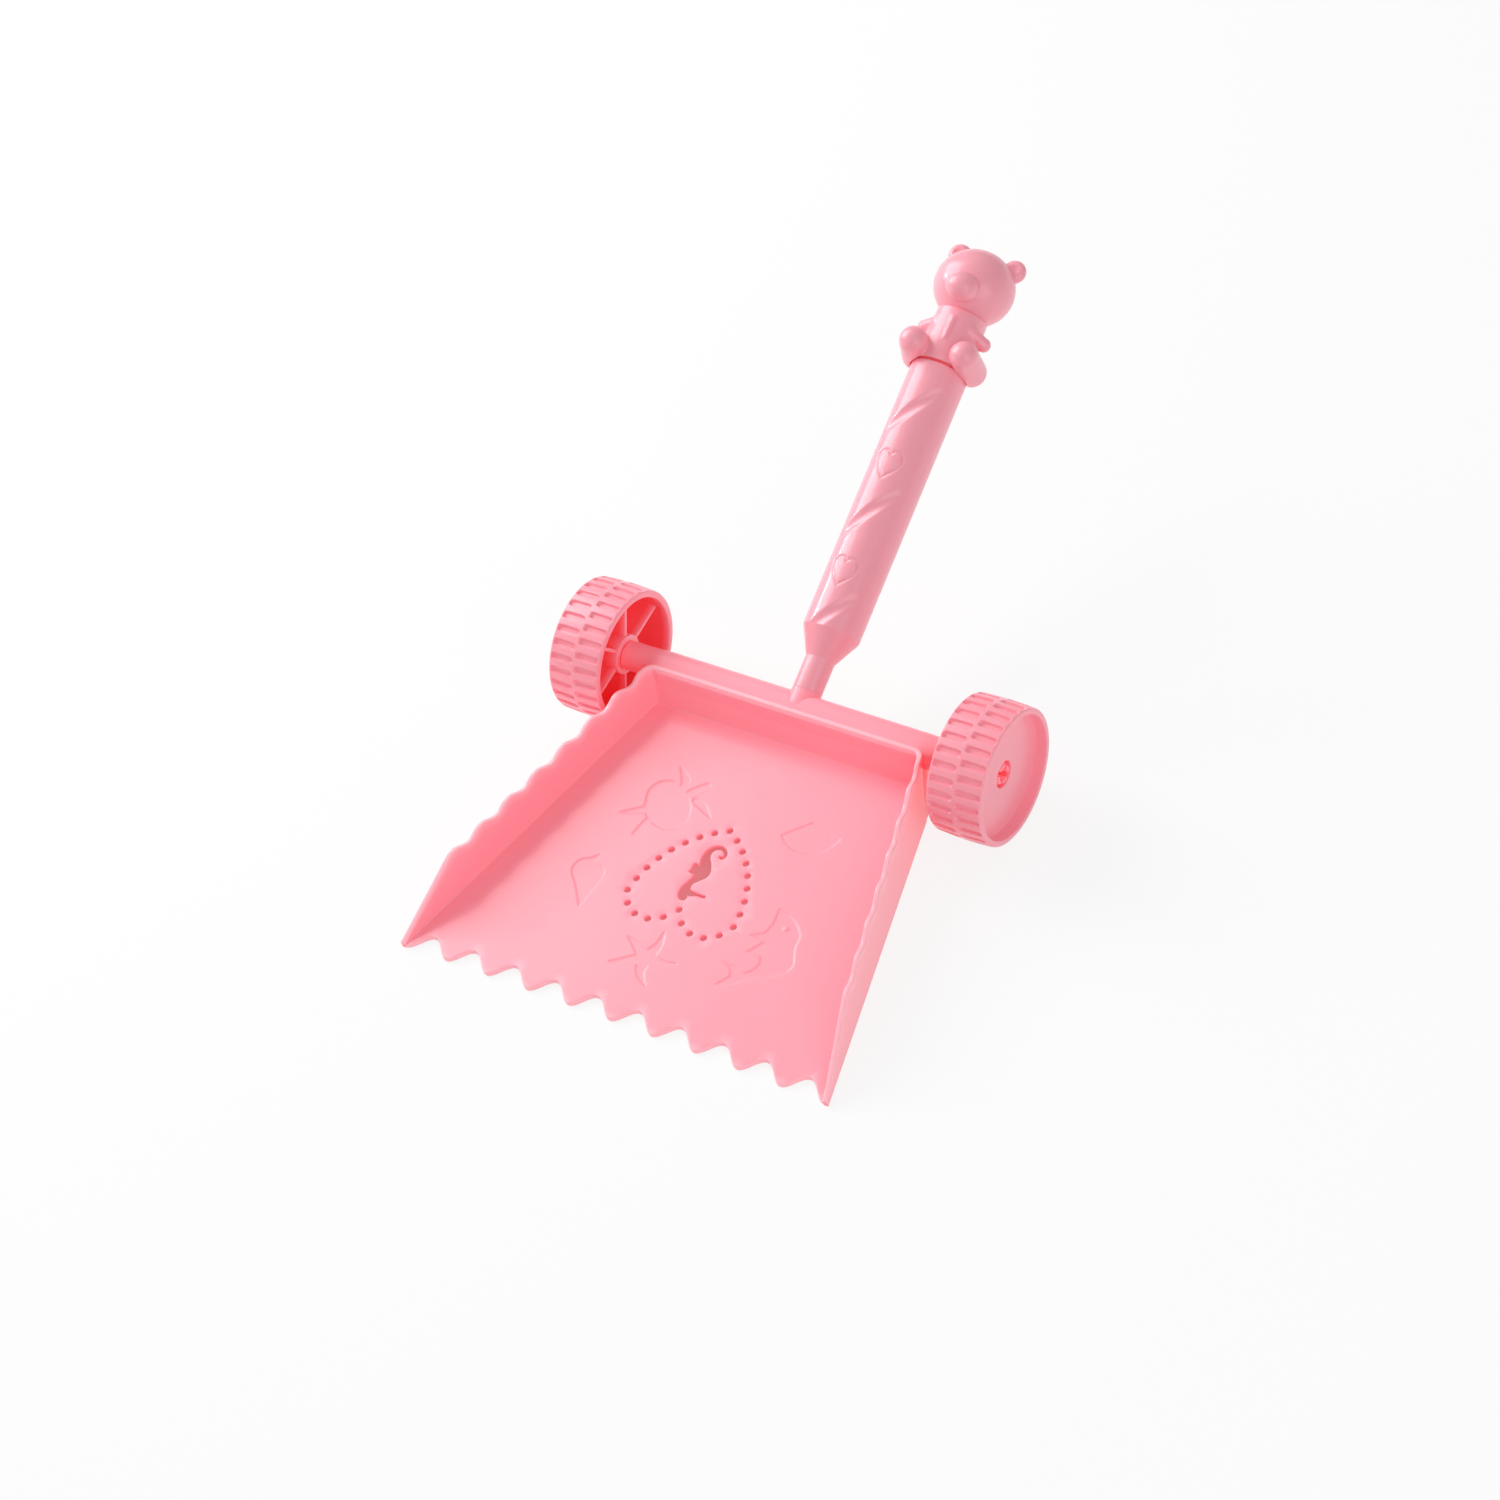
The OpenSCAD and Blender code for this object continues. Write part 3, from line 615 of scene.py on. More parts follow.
def wall_point(p, station, z, out):
    """Point of the pan's wall at a station of its half plan, at height z and out from the inner face.

    Stations run from 0 to 1 along the back, from 1 to 2 round the corner and from 2 to 3 along the side to
    the lip. The side leans outwards with the height, and so does the back above the floor; the corner's
    centre follows them.
    """
    centre_y = p.crease_y + math.tan(p.back_lean) * np.maximum(z - p.crease_z, 0) - p.corner_r
    centre_x = side_face(p, z) - p.slope * centre_y - p.corner_r * p.stretch
    turn = np.pi / 2 + (math.atan(p.slope) - np.pi / 2) * np.clip(station - 1, 0, 1)
    x = centre_x * np.clip(station, 0, 1) + (p.corner_r + out) * np.cos(turn)
    y = centre_y + (p.corner_r + out) * np.sin(turn)
    run = np.clip(station - 2, 0, 1) * (y - p.lip_y)
    return np.stack(np.broadcast_arrays(x + p.slope * run, y - run, z), -1)


def wall_stations(p):
    """Stations of the half plan, closest along the wavy side, with the heights of floor and rim there."""
    back_steps, corner_steps, side_steps = 24, 20, 24 * (p.rim_waves + 2)
    station = np.concatenate([np.linspace(0, 1, back_steps, endpoint=False),
                              np.linspace(1, 2, corner_steps, endpoint=False),
                              np.linspace(2, 3, side_steps)])
    rim = np.full_like(station, p.rim_z)
    base = np.full_like(station, p.crease_z)
    for _ in range(5):
        rim = side_rim_z(p, wall_point(p, station, rim, p.wall_t / 2)[:, 1])
        base = floor_z(p, wall_point(p, station, base, 0.0)[:, 1])
    return station, base, rim


def wall_section(p, base, rim):
    """Section of the wall at each station, as distances out from the inner face and heights.

    It runs up the inner face, with a fillet on the floor, over the rounded rim and down the outer face.
    """
    quarter = np.linspace(0, np.pi / 2, 7)
    foot = 0.3
    height = (rim - base)[:, None]
    fillet = np.minimum(p.crease_r, 0.45 * height)
    edge = np.minimum(p.edge_r, 0.45 * height)
    base, rim = base[:, None], rim[:, None]
    zero = np.zeros_like(base)
    inner_low, inner_high = base + fillet, rim - edge
    climb = np.linspace(0, 1, 6)[1:-1]
    steps = [
        (zero + p.wall_t - foot, zero), (zero + foot, zero), (zero, zero + foot),
        (zero, base - p.wall_t / 2), (-fillet, base - p.wall_t / 2),
        (fillet * (np.sin(quarter) - 1), base + fillet * (1 - np.cos(quarter))),
        (zero + 0 * climb, inner_low + (inner_high - inner_low) * climb),
        (edge * (1 - np.cos(quarter)), rim - edge * (1 - np.sin(quarter))),
        (p.wall_t - edge * (1 - np.sin(quarter)), rim - edge * (1 - np.cos(quarter))),
        (zero + p.wall_t + 0 * climb, inner_high + (foot - inner_high) * climb),
        (zero + p.wall_t, zero + foot),
    ]

    def joined(k):
        return np.concatenate([np.broadcast_to(step[k], (len(base), step[k].shape[1])) for step in steps], 1)

    return joined(0), joined(1)


def pan_walls(p):
    """Side and back walls: the wall section carried along the U-shaped plan, mirrored to the left half."""
    station, base, rim = wall_stations(p)
    out, z = wall_section(p, base, rim)
    right = wall_point(p, station[:, None], z, out)
    left = right[::-1] * np.array([-1, 1, 1])
    return capped(np.concatenate([left[:-1], right]))


def painted_rim_highlight(p):
    """Painted highlight on the walls' rims: rises to 1 over the last stretch below the wavy rim."""
    band, fade = 1.1, 0.5

    def shade(points):
        below = side_rim_z(p, points[:, 1]) - points[:, 2]
        return smooth((band - below) / fade)

    return shade


def painted_lip_highlight(p):
    """Painted highlight on the lip: rises to 1 over the last stretch before the toothed edge."""
    band, fade = 0.8, 0.5

    def shade(points):
        behind = points[:, 1] - lip_edge(p, points[:, 0])
        return smooth((band - behind) / fade)

    return shade


def lip_edge(p, x):
    """Front edge of the floor: cosine teeth on a shallow bow, straight across the ends of the walls."""
    bow = p.lip_bow * (1 - (x / p.lip_half_w) ** 2)
    teeth = p.lip_y + bow + wave(0, p.lip_wave_h, 2 * x / p.tooth_pitch)
    return np.where(np.abs(x) > p.lip_half_w - p.wall_t, p.lip_y, teeth)


def pan_outline(p):
    """Plan of the floor: the middle of the walls and the toothed lip."""
    station = np.concatenate([np.linspace(0, 1, 6, endpoint=False), np.linspace(1, 2, 12), [3]])
    base = np.full_like(station, p.crease_z)
    for _ in range(5):
        base = floor_z(p, wall_point(p, station, base, p.wall_t / 2)[:, 1])
    right = wall_point(p, station, base, p.wall_t / 2)[:, :2]
    tip_x = right[-1, 0]
    lip_x = np.linspace(tip_x, -tip_x, 30 * p.lip_waves)
    lip = np.column_stack([lip_x, lip_edge(p, lip_x)])
    left = right[::-1] * np.array([-1, 1])
    return np.vstack([right[:-1], lip, left[1:-1]])


def drain_holes(p):
    """Round holes on a heart: a long arc from tip to shoulder, then a lobe to the cleft, mirrored."""
    drawn_h = 51
    side_centre, side_r = np.array([-21.9, 42.5]), 47.8
    lobe_centre, lobe_r = np.array([13.1, 38.2]), 12.9
    side_a = np.radians(np.linspace(-62.7, -1.3, 9)[1:])
    lobe_a = np.radians(np.linspace(14, 162, 6)[1:])
    side = side_centre + side_r * np.column_stack([np.cos(side_a), np.sin(side_a)])
    lobe = lobe_centre + lobe_r * np.column_stack([np.cos(lobe_a), np.sin(lobe_a)])
    half = np.vstack([side, lobe[:-1]])
    places = np.vstack([[[0, 0], [0, lobe[-1, 1]]], half, half * [-1, 1]]) * p.heart_h / drawn_h
    centres = np.column_stack([places[:, 0], p.crease_y - p.heart_gap - places[:, 1]])
    a = np.linspace(0, 2 * np.pi, 28, endpoint=False)
    ring = p.drain_d / 2 * np.column_stack([np.cos(a), np.sin(a)])
    return [centre + ring for centre in centres]


def sea_horse(p):
    """Sea horse cut-out: tapering strokes for the body with its curled tail and for the snout, and a fin."""
    drawn_h = 28
    body = [(-0.2, -14, 0.9), (-2.2, -13, 2.1), (-3, -9.6, 2.1), (-2.6, -6.2, 1.5), (-1.2, -3, 2.2),
            (-0.2, 0, 3.2), (-1, 3.4, 2.6), (-2.7, 6.8, 1.9), (-3, 9.8, 1.5), (-1.8, 12.3, 1.2),
            (0.6, 13.5, 1), (3.1, 12.9, 0.8), (4.5, 10.9, 0.7), (3.7, 9.2, 0.6), (2.2, 9.5, 0.4)]
    snout = [(-2.4, -10.9, 1.7), (0.8, -10.9, 1.3), (3, -10.5, 0.7), (7.2, -10.4, 0.6)]
    fin = [(-2, -1.8), (-4.2, -2.2), (-6.2, -1.6), (-5.7, 0.4), (-6.2, 2.6), (-5.4, 3.3), (-2.4, 2)]
    shapes = [stroke_outline(curve_through(body, 5)), stroke_outline(curve_through(snout, 4)), np.array(fin)]
    place = np.array([0, p.crease_y - p.sea_horse_gap])
    return [place + shape * p.sea_horse_h / drawn_h for shape in shapes]


def sea_creatures():
    """Creatures sunk into the floor, as a function that gives the distance to the nearest of them.

    The turtle and the starfish are joined strokes; the clam, the conch and the fish are outlines of smooth
    curves that meet in corners, and the fish has an eye left standing in it.
    """
    turtle = [[(-36.5, -52.5, 7.5), (-31.7, -57.2, 9.8), (-27.5, -60.5, 7.5)],
              [(-30.4, -46, 1.8), (-31.5, -42.3, 1.9), (-37.1, -37.2, 0.3)],
              [(-26, -48, 2), (-22.6, -44.2, 2.1), (-20.8, -42.1, 1.7)],
              [(-22, -50.3, 1.5), (-17.2, -52, 1.7), (-11.4, -55.8, 0.3)],
              [(-40, -61.7, 1.9), (-44.5, -64.5, 1.4), (-49.7, -66.9, 0.3)],
              [(-36, -66, 1.5), (-37.5, -71, 1.1), (-38.5, -74.9, 0.3)]]
    middle = (-1, -126.5, 3.3)
    arms = [[(0.9, -119, 1.7), (0, -112.8, 0.4)], [(-8, -122.3, 1.6), (-13.4, -120, 0.4)],
            [(-8, -130.2, 1.6), (-14.4, -133.3, 0.4)], [(0.6, -133.4, 1.8), (5.8, -138, 0.4)],
            [(7, -126, 1.5), (12.7, -124.2, 0.4)]]
    starfish = [[middle] + arm for arm in arms]
    clam = [[(21.6, -52.6), (25.5, -56), (31, -57.7), (37, -57.1), (42.8, -53.6), (46.4, -45.6)],
            [(31.3, -42.2)]]
    conch = [[(-41.2, -114.8), (-47.8, -106.6), (-54, -99.9), (-53.4, -94.2), (-49.6, -91.8),
              (-46.6, -88.6)],
             [(-45.8, -93.2), (-42.2, -93.8), (-39.9, -95.9), (-39.1, -99.4)]]
    fish = [[(39.4, -85.2), (45, -86.4), (50, -89.2), (54.3, -94), (55.2, -99.8), (58.5, -107),
             (57.5, -111)],
            [(51.8, -116.1), (43.5, -120.4), (39.5, -124.1), (32.9, -127.1)],
            [(36.4, -121), (34.6, -118), (30.3, -115.8)],
            [(38, -116.6), (41.6, -117.4), (44.6, -113.2), (43.4, -108.4), (36.9, -108.8)],
            [(41.3, -101.6), (34.3, -100.8)], [(39.6, -97.6), (40.6, -92)]]
    eye = (46.8, -92.6, 1.1)
    strokes = [[curve_through(stroke, 6) for stroke in creature] for creature in (turtle, starfish)]
    outlines = [np.vstack([curve_through(curve, 6) for curve in creature])
                for creature in (clam, conch, fish)]

    def distance(points):
        near = [stroke_distance(points, line) for creature in strokes for line in creature]
        near += [outline_distance(points, outline) for outline in outlines]
        standing = eye[2] - np.hypot(points[:, 0] - eye[0], points[:, 1] - eye[1])
        return np.maximum(np.min(near, 0), standing)

    return distance


def hex_points(low, high, gap):
    """Points in offset rows over a rectangle."""
    rows = np.arange(low[1], high[1], gap * math.sqrt(0.75))
    x, y = np.meshgrid(np.arange(low[0], high[0], gap), rows)
    x = x + gap / 2 * (np.arange(len(rows)) % 2)[:, None]
    return np.column_stack([x.ravel(), y.ravel()])


def pan_floor(p):
    """Ramped floor with its toothed lip, drain holes and sea horse, and creatures sunk into its top."""
    outer = pan_outline(p)
    holes = drain_holes(p) + sea_horse(p)
    distance = sea_creatures()
    soft, near, clear = 0.42, 1.1, 1.6
    fine_gap, coarse_gap = 0.45, 5
    fine = hex_points((-58, -142), (60, -33), fine_gap)
    fine = fine[np.abs(distance(fine)) < near]
    coarse = hex_points((-100, p.lip_y), (100, p.crease_y), coarse_gap)
    coarse = coarse[np.abs(distance(coarse)) > clear]
    points = np.vstack([fine, coarse])
    margin = np.min([np.abs(outline_distance(points, loop)) for loop in [outer] + holes], 0)
    points = points[(margin > 2 * p.lip_edge_r) & is_inside(points, outer)]

    def top(xy):
        sunk = smooth((soft - distance(xy)) / (2 * soft))
        return floor_z(p, xy[:, 1]) - p.relief_depth * sunk

    def bottom(xy):
        return floor_z(p, xy[:, 1]) - p.wall_t

    return plate(outer, holes, points, top, bottom, p.lip_edge_r)


# Axle beam

def beam_body(p):
    """Round beam with its flat web to the back wall, as a radius around the axle.

    Towards the pan the radius is the larger of the beam's and that of the web's rectangle, written as a high
    power sum; behind, it eases from the web's top to the beam. Past the pan's corners the web fades into the
    round beam.
    """
    top = p.rim_z - p.web_drop - p.axle_z
    low = p.web_h - top
    overlap, cap, seam = 0.6, 0.6, 1.2
    fade_lead, fade_run = 4, 12
    crest_start = 0.4
    reach = p.crease_gap - p.wall_t + overlap
    x = np.concatenate([[p.beam_end, p.beam_end - cap / 3], np.linspace(p.beam_end - cap, 0, 90)])
    x = np.concatenate([x, -x[-2::-1]])[:, None]
    a = np.linspace(0, 2 * np.pi, 192, endpoint=False)[None]
    y, z = np.cos(a), np.sin(a)
    power = 14
    inverse = (np.abs(y) / reach) ** power + np.abs(z / np.where(z > 0, top, low)) ** power
    crest = p.beam_r + (top - p.beam_r) * smooth((z - crest_start) / (1 - crest_start))
    web = np.where(y < 0, inverse ** (-1 / power), crest)
    past = np.clip(np.abs(x) - p.beam_end + cap, 0, cap) / cap
    ends = p.beam_r - cap * (1 - np.sqrt(1 - past * past))
    fade = 1 - smooth((np.abs(x) - p.back_half_w + fade_lead) / fade_run)
    radius = ends + fade * (soft_max(web, ends + 0 * a, seam) - ends)
    grid = np.stack(np.broadcast_arrays(x, radius * y, p.axle_z + radius * z), -1)
    return capped(grid)


def gusset(p, side):
    """Plate that carries the pan's side wall on to the beam: a rounded outline with two parallel faces."""
    start_y = p.crease_y - p.corner_r
    foot_z = 0.2
    outline = np.vstack(rounded([
        (start_y, foot_z, 0), (-3.5, foot_z, 3), (0, p.axle_z - 4, 2), (0, p.axle_z + 4, 2),
        (p.crease_y + 3, p.rim_z - 2, 0), (start_y, p.rim_z - 6, 0)]))
    middle = outline.mean(0)
    out = np.array([0.1, 0.4, p.wall_t - 0.35, p.wall_t - 0.05])[:, None]
    shrink = np.array([0.96, 1, 1, 0.96])[:, None, None]
    y, z = np.moveaxis(middle + (outline - middle) * shrink, -1, 0)
    x = side_face(p, z) - p.slope * y + out * p.stretch
    return capped(np.stack([side * x, y, z], -1))


def collar(scene):
    """Collar for the grip: a turned stub that flares out into the beam and narrows to the grip's neck."""
    g = grip_values(scene)
    flare, foot, root, step = 1.3, 0.5, 2, 0.05
    t = np.linspace(0, 1, 16)
    profile = np.column_stack([g.neck_r + step + flare * (1 - t) ** 2, foot + (g.neck_start - foot) * t])
    profile = np.vstack([[[0, foot - root], [g.neck_r + flare, foot - root]], profile, [[0, g.neck_start]]])
    return sheet(grip_place(scene, around_grip(profile, 96)), close_columns=True)


def journal(p, side):
    """Journal with a split snap nose: a turned tube, and four prongs between its crossed slots."""
    bore_r = p.journal_bore_d / 2
    root_x = p.beam_end - 2
    slot_start = p.snap_start - p.snap_slot_length
    tube = rounded([(root_x, p.journal_r, 0), (slot_start, p.journal_r, 0), (slot_start, bore_r, 0),
                    (root_x, bore_r, 0)])
    tube = np.vstack(tube + tube[:1])
    prong_x = slot_start - 0.5
    prong = np.vstack(rounded([
        (prong_x, p.journal_r, 0), (p.snap_start, p.journal_r, 0.2),
        (p.snap_start, p.journal_r + p.snap_lip, 0.35), (p.disc_end, p.journal_r - p.snap_lip, 0.5),
        (p.disc_end, bore_r, 0.3), (prong_x, bore_r, 0)]))
    turn = np.linspace(0, 1, 14)[:, None]
    x, r = prong[None, :, 0], prong[None, :, 1]
    gap = np.arcsin(p.snap_slot_w / 2 / r)
    parts = [sheet(around_x(tube, 48, p.axle_z) * [side, side, 1], close_rows=True, close_columns=True)]
    for quarter in range(4):
        a = math.radians(45 + 90 * quarter) + gap + turn * (np.pi / 2 - 2 * gap)
        grid = np.stack([0 * a + x, -r * np.sin(a), r * np.cos(a)], -1)
        parts.append(capped(grid * [side, side, 1] + [0, 0, p.axle_z]))
    return parts


# Wheels

def wheel_values(scene, p):
    """Sizes of the wheels in millimetres, with those that follow from them and from the journals."""
    w = values(scene, "shovel_wheel")
    w.wheel_r = w.wheel_d / 2
    w.rim_r = w.wheel_r - w.rim_t
    w.web_x = w.wheel_start + w.wheel_w - w.dish_depth - w.disc_t
    w.seat_r = p.journal_r + p.snap_lip + w.nose_clearance
    return w


def wheel_profile(w, p):
    """Half section of the wheel as (x, radius): tread line first, then dished disc, hub, bore and inside."""
    r, e = w.wheel_r, w.edge_r
    end = w.wheel_start + w.wheel_w
    dish_r = r - w.dish_border
    bore_r = p.journal_r + w.run_clearance
    hub_r = bore_r + w.hub_wall
    hub_x = w.wheel_start + w.hub_recess
    seat_x = p.disc_end - p.snap_nose - p.end_play
    middle, half = w.wheel_start + w.wheel_w / 2, w.wheel_w / 2 - w.shoulder_r
    corner = r - w.crown - w.shoulder_r
    a = np.radians(np.linspace(0, 82, 9))
    u = np.linspace(-1, 1, 47)
    shoulder = w.shoulder_r * np.column_stack([np.sin(a), np.cos(a)])
    first = ([middle - half, corner] + shoulder * [-1, 1])[::-1]
    crown = np.column_stack([middle + u * half, r - w.crown * u * u])
    last = [middle + half, corner] + shoulder
    tread = np.vstack([first[:-1], crown, last[1:]])
    draft = 0.2
    rest = rounded([
        (*last[-1], 0), (end, dish_r + draft, e), (p.disc_end, dish_r - draft, e), (p.disc_end, w.seat_r, e),
        (seat_x, w.seat_r, 0.2), (seat_x, bore_r, 0.2), (hub_x, bore_r, 0.4), (hub_x, hub_r, e),
        (w.web_x, hub_r + 0.3, 1.2), (w.web_x, w.rim_r - 0.5, 1.5), (w.wheel_start, w.rim_r, 0.8),
        (*first[0], 0)], steps=4)
    longest = 3
    return tread, spread(np.vstack(rest[1:-1]), longest)


def wheel_shell(w, p):
    """Wheel turned about the axle, with slots pressed into the tread.

    A slot is a straight stretch with round ends; inside it the radius falls by the slot's depth over a soft
    edge. The two rows are staggered by half a pitch.
    """
    tread, rest = wheel_profile(w, p)
    profile = np.vstack([tread, rest])
    columns = 20 * w.tread_slots
    a = np.linspace(0, 2 * np.pi, columns, endpoint=False)[None]
    x, r = profile[:, :1], profile[:, 1:]
    across = x - w.wheel_start - w.wheel_w / 2
    slot_r = w.slot_w / 2
    inner, outer = w.slot_land / 2 + slot_r, w.wheel_w / 2 - w.slot_edge - slot_r
    pitch = 2 * np.pi / w.tread_slots
    turn = (a - np.sign(across) * pitch / 4 + pitch / 2) % pitch - pitch / 2
    along = np.maximum(np.abs(np.abs(across) - (inner + outer) / 2) - (outer - inner) / 2, 0)
    distance = np.hypot(along, turn * w.wheel_r) - slot_r
    soft = 0.27
    depth = w.slot_depth * smooth((soft - distance) / (2 * soft))
    is_tread = (np.arange(len(profile)) < len(tread))[:, None]
    room = np.maximum(r - w.wheel_r + w.slot_depth + w.crown, 0)
    radius = r - np.where(is_tread, np.minimum(depth, room), 0)
    grid = np.stack(np.broadcast_arrays(x, -radius * np.sin(a), p.axle_z + radius * np.cos(a)), -1)
    return sheet(grid, close_rows=True, close_columns=True)


def wheel_painted_shade(w, p):
    """Painted shade in a wheel from 0 to 1: on the rim's inner wall, below the ribs and in the hub's hole.
    """
    disc_x = w.web_x - w.wheel_start

    def shade(points):
        x = np.abs(points[:, 0]) - w.wheel_start
        r = np.hypot(points[:, 1], points[:, 2] - p.axle_z)
        wall = smooth((x - 0.5) / 2.5)
        shade_below_ribs = smooth((x - w.rib_recess - 0.5) / 3)
        hollow = np.where(r > w.rim_r - 1.2, wall, shade_below_ribs) * (r < w.rim_r + 0.3) * (x < disc_x + 0.2)
        hole = (r < w.seat_r + 0.1) * smooth(disc_x + w.disc_t - 0.4 - x)
        return np.maximum(hollow, hole)

    return shade


def wheel_ribs(w, p):
    """Ribs behind the disc: a rounded section carried from the hub out to the rim."""
    from_x = w.wheel_start + w.rib_recess
    to_x = w.web_x + w.disc_t / 2
    tip, root = w.rib_t / 2 - 0.1, w.rib_t / 2 + 0.2
    edge_r = 0.5
    section = np.vstack(rounded([(from_x, -tip, edge_r), (to_x, -root, 0), (to_x, root, 0),
                                 (from_x, tip, edge_r)]))
    longest = 1.5
    section = spread(np.vstack([section, section[:1]]), longest)[:-1]
    x, t = section[None, :, 0], section[None, :, 1]
    r = np.linspace(p.journal_r + w.hub_wall / 2, w.wheel_r - w.rim_t / 2, 8)[:, None]
    first_deg = 20
    parts = []
    for i in range(w.wheel_ribs):
        a = math.radians(first_deg) + 2 * np.pi * i / w.wheel_ribs
        grid = np.broadcast_arrays(x + 0 * r, -r * math.sin(a) - t * math.cos(a),
                                   p.axle_z + r * math.cos(a) - t * math.sin(a))
        parts.append(capped(np.stack(grid, -1)))
    return parts


def build_wheel(w, p, side):
    """One wheel; the left one is the right one turned half round about the upright axis."""
    parts = [wheel_shell(w, p)] + wheel_ribs(w, p)
    return [(points * [side, side, 1], faces) for points, faces in parts]


# Grip

def heart_outline(width):
    """Full heart: a round lobe from the cleft to the side, then a bowed side down to the tip, mirrored."""
    a = np.radians(np.linspace(148, -20, 16))
    lobe = np.column_stack([0.23 + 0.27 * np.cos(a), 0.2 + 0.27 * np.sin(a)])
    t = np.linspace(0, 1, 14)[1:, None]
    side = (1 - t) ** 2 * lobe[-1] + 2 * t * (1 - t) * np.array([0.44, -0.16]) + t * t * np.array([0, -0.56])
    half = np.vstack([[[0, lobe[0, 1]]], lobe, side])
    return np.vstack([half, half[-2:0:-1] * [-1, 1]]) * width


def grip_shell(scene):
    """Hollow grip turned about its own axis, with slanted leaf grooves and engraved hearts.

    A groove is a ring laid across the tube at 45 degrees that grazes its surface: the radius falls by how
    far a point lies inside the ring. A heart line is a round furrow along a heart wrapped on the tube.
    """
    g = grip_values(scene)
    r, spigot_r = g.grip_r, g.spigot_d / 2
    low = g.neck_start - g.spigot_length
    pieces = rounded([
        (0, low, 0), (spigot_r, low, 0.4), (spigot_r, g.neck_start, 0), (g.neck_r, g.neck_start, 0.3),
        (g.neck_r, g.cone, 1.6), (r, g.tube, 1.2), (r, g.seam, 0.7), (g.bore_r, g.seam, 0.4),
        (g.bore_r, g.tube + g.grip_wall, 1), (g.neck_r - g.grip_wall, g.cone + g.grip_wall, 1),
        (0, g.cone + g.grip_wall, 0)], steps=6)
    ring_gap, columns = 0.45, 256
    tube = spread(np.vstack([pieces[5][-1:], pieces[6][:1]]), ring_gap)
    outer = np.vstack([pieces[4], pieces[5][:-1], tube, pieces[6][1:]])
    profile = np.vstack(pieces[:4] + [outer] + pieces[7:])
    points = around_grip(profile, columns)
    x, y, s = points[..., 0], points[..., 1], points[..., 2]
    sunk = np.zeros_like(x)
    grooves, groove_edge, hearts = 3, 0.35, 2
    for i in range(grooves):
        for turn in (1, -1):
            rise = s - g.tube - g.groove_start - i * g.groove_pitch
            across, along = (turn * x + rise) / math.sqrt(2), (rise - turn * x) / math.sqrt(2)
            depth = turn * y - g.groove_bend + r - g.groove_depth
            ring = np.hypot(across, depth) - g.groove_bend - g.groove_r
            sunk += soft_max(g.groove_r - np.hypot(ring, along), 0 * x, groove_edge)
    wrap = np.arctan2(x, -y) * r
    for i in range(hearts):
        flat = np.stack([wrap, s - g.heart_first - i * g.heart_pitch], -1)
        close = (np.abs(flat) < g.heart_w).all(-1)
        near = outline_distance(flat[close], heart_outline(g.heart_w))
        sunk[close] += g.heart_depth * np.exp(-(2 * near / g.heart_line) ** 2)
    radius = np.hypot(x, y)
    is_outer = (radius > r - 0.05) & (s > g.tube - 2) & (s < g.seam - 0.3)
    shrink = np.where(is_outer, 1 - sunk / np.maximum(radius, 1), 1)[..., None]
    points = points * np.concatenate([shrink, shrink, np.ones_like(shrink)], -1)
    return sheet(grip_place(scene, points), close_columns=True)


def seam_painted_shade(scene):
    """Painted shade in the seam between the grip and the bear, from 0 at the skin to 1."""
    g = grip_values(scene)
    gap = values(scene, "shovel_bear").seam_gap
    foot = grip_place(scene, np.zeros(3))
    axis = grip_place(scene, np.array([0, 0, 1])) - foot

    def shade(points):
        s = (points - foot) @ axis
        r = np.linalg.norm(points - foot - s[:, None] * axis, axis=1)
        return smooth((g.grip_r - 0.3 - r) / 0.4) * (np.abs(s - g.seam - gap / 2) < 1.1 * gap)

    return shade


# Bear

def ball(points, centre, radii):
    """Distance to an ellipsoid, about right near its surface."""
    q = (points - np.array(centre)) / np.array(radii)
    length = np.linalg.norm(q, axis=1)
    slope = np.linalg.norm(q / np.array(radii), axis=1)
    return length * (length - 1) / np.maximum(slope, 1e-6)


def limb(points, start, stop, r_start, r_stop):
    """Distance to a round limb that tapers between two joints."""
    a, run = np.array(start), np.array(stop) - np.array(start)
    t = np.clip((points - a) @ run / (run @ run), 0, 1)
    return np.linalg.norm(points - a - t[:, None] * run, axis=1) - r_start - t * (r_stop - r_start)


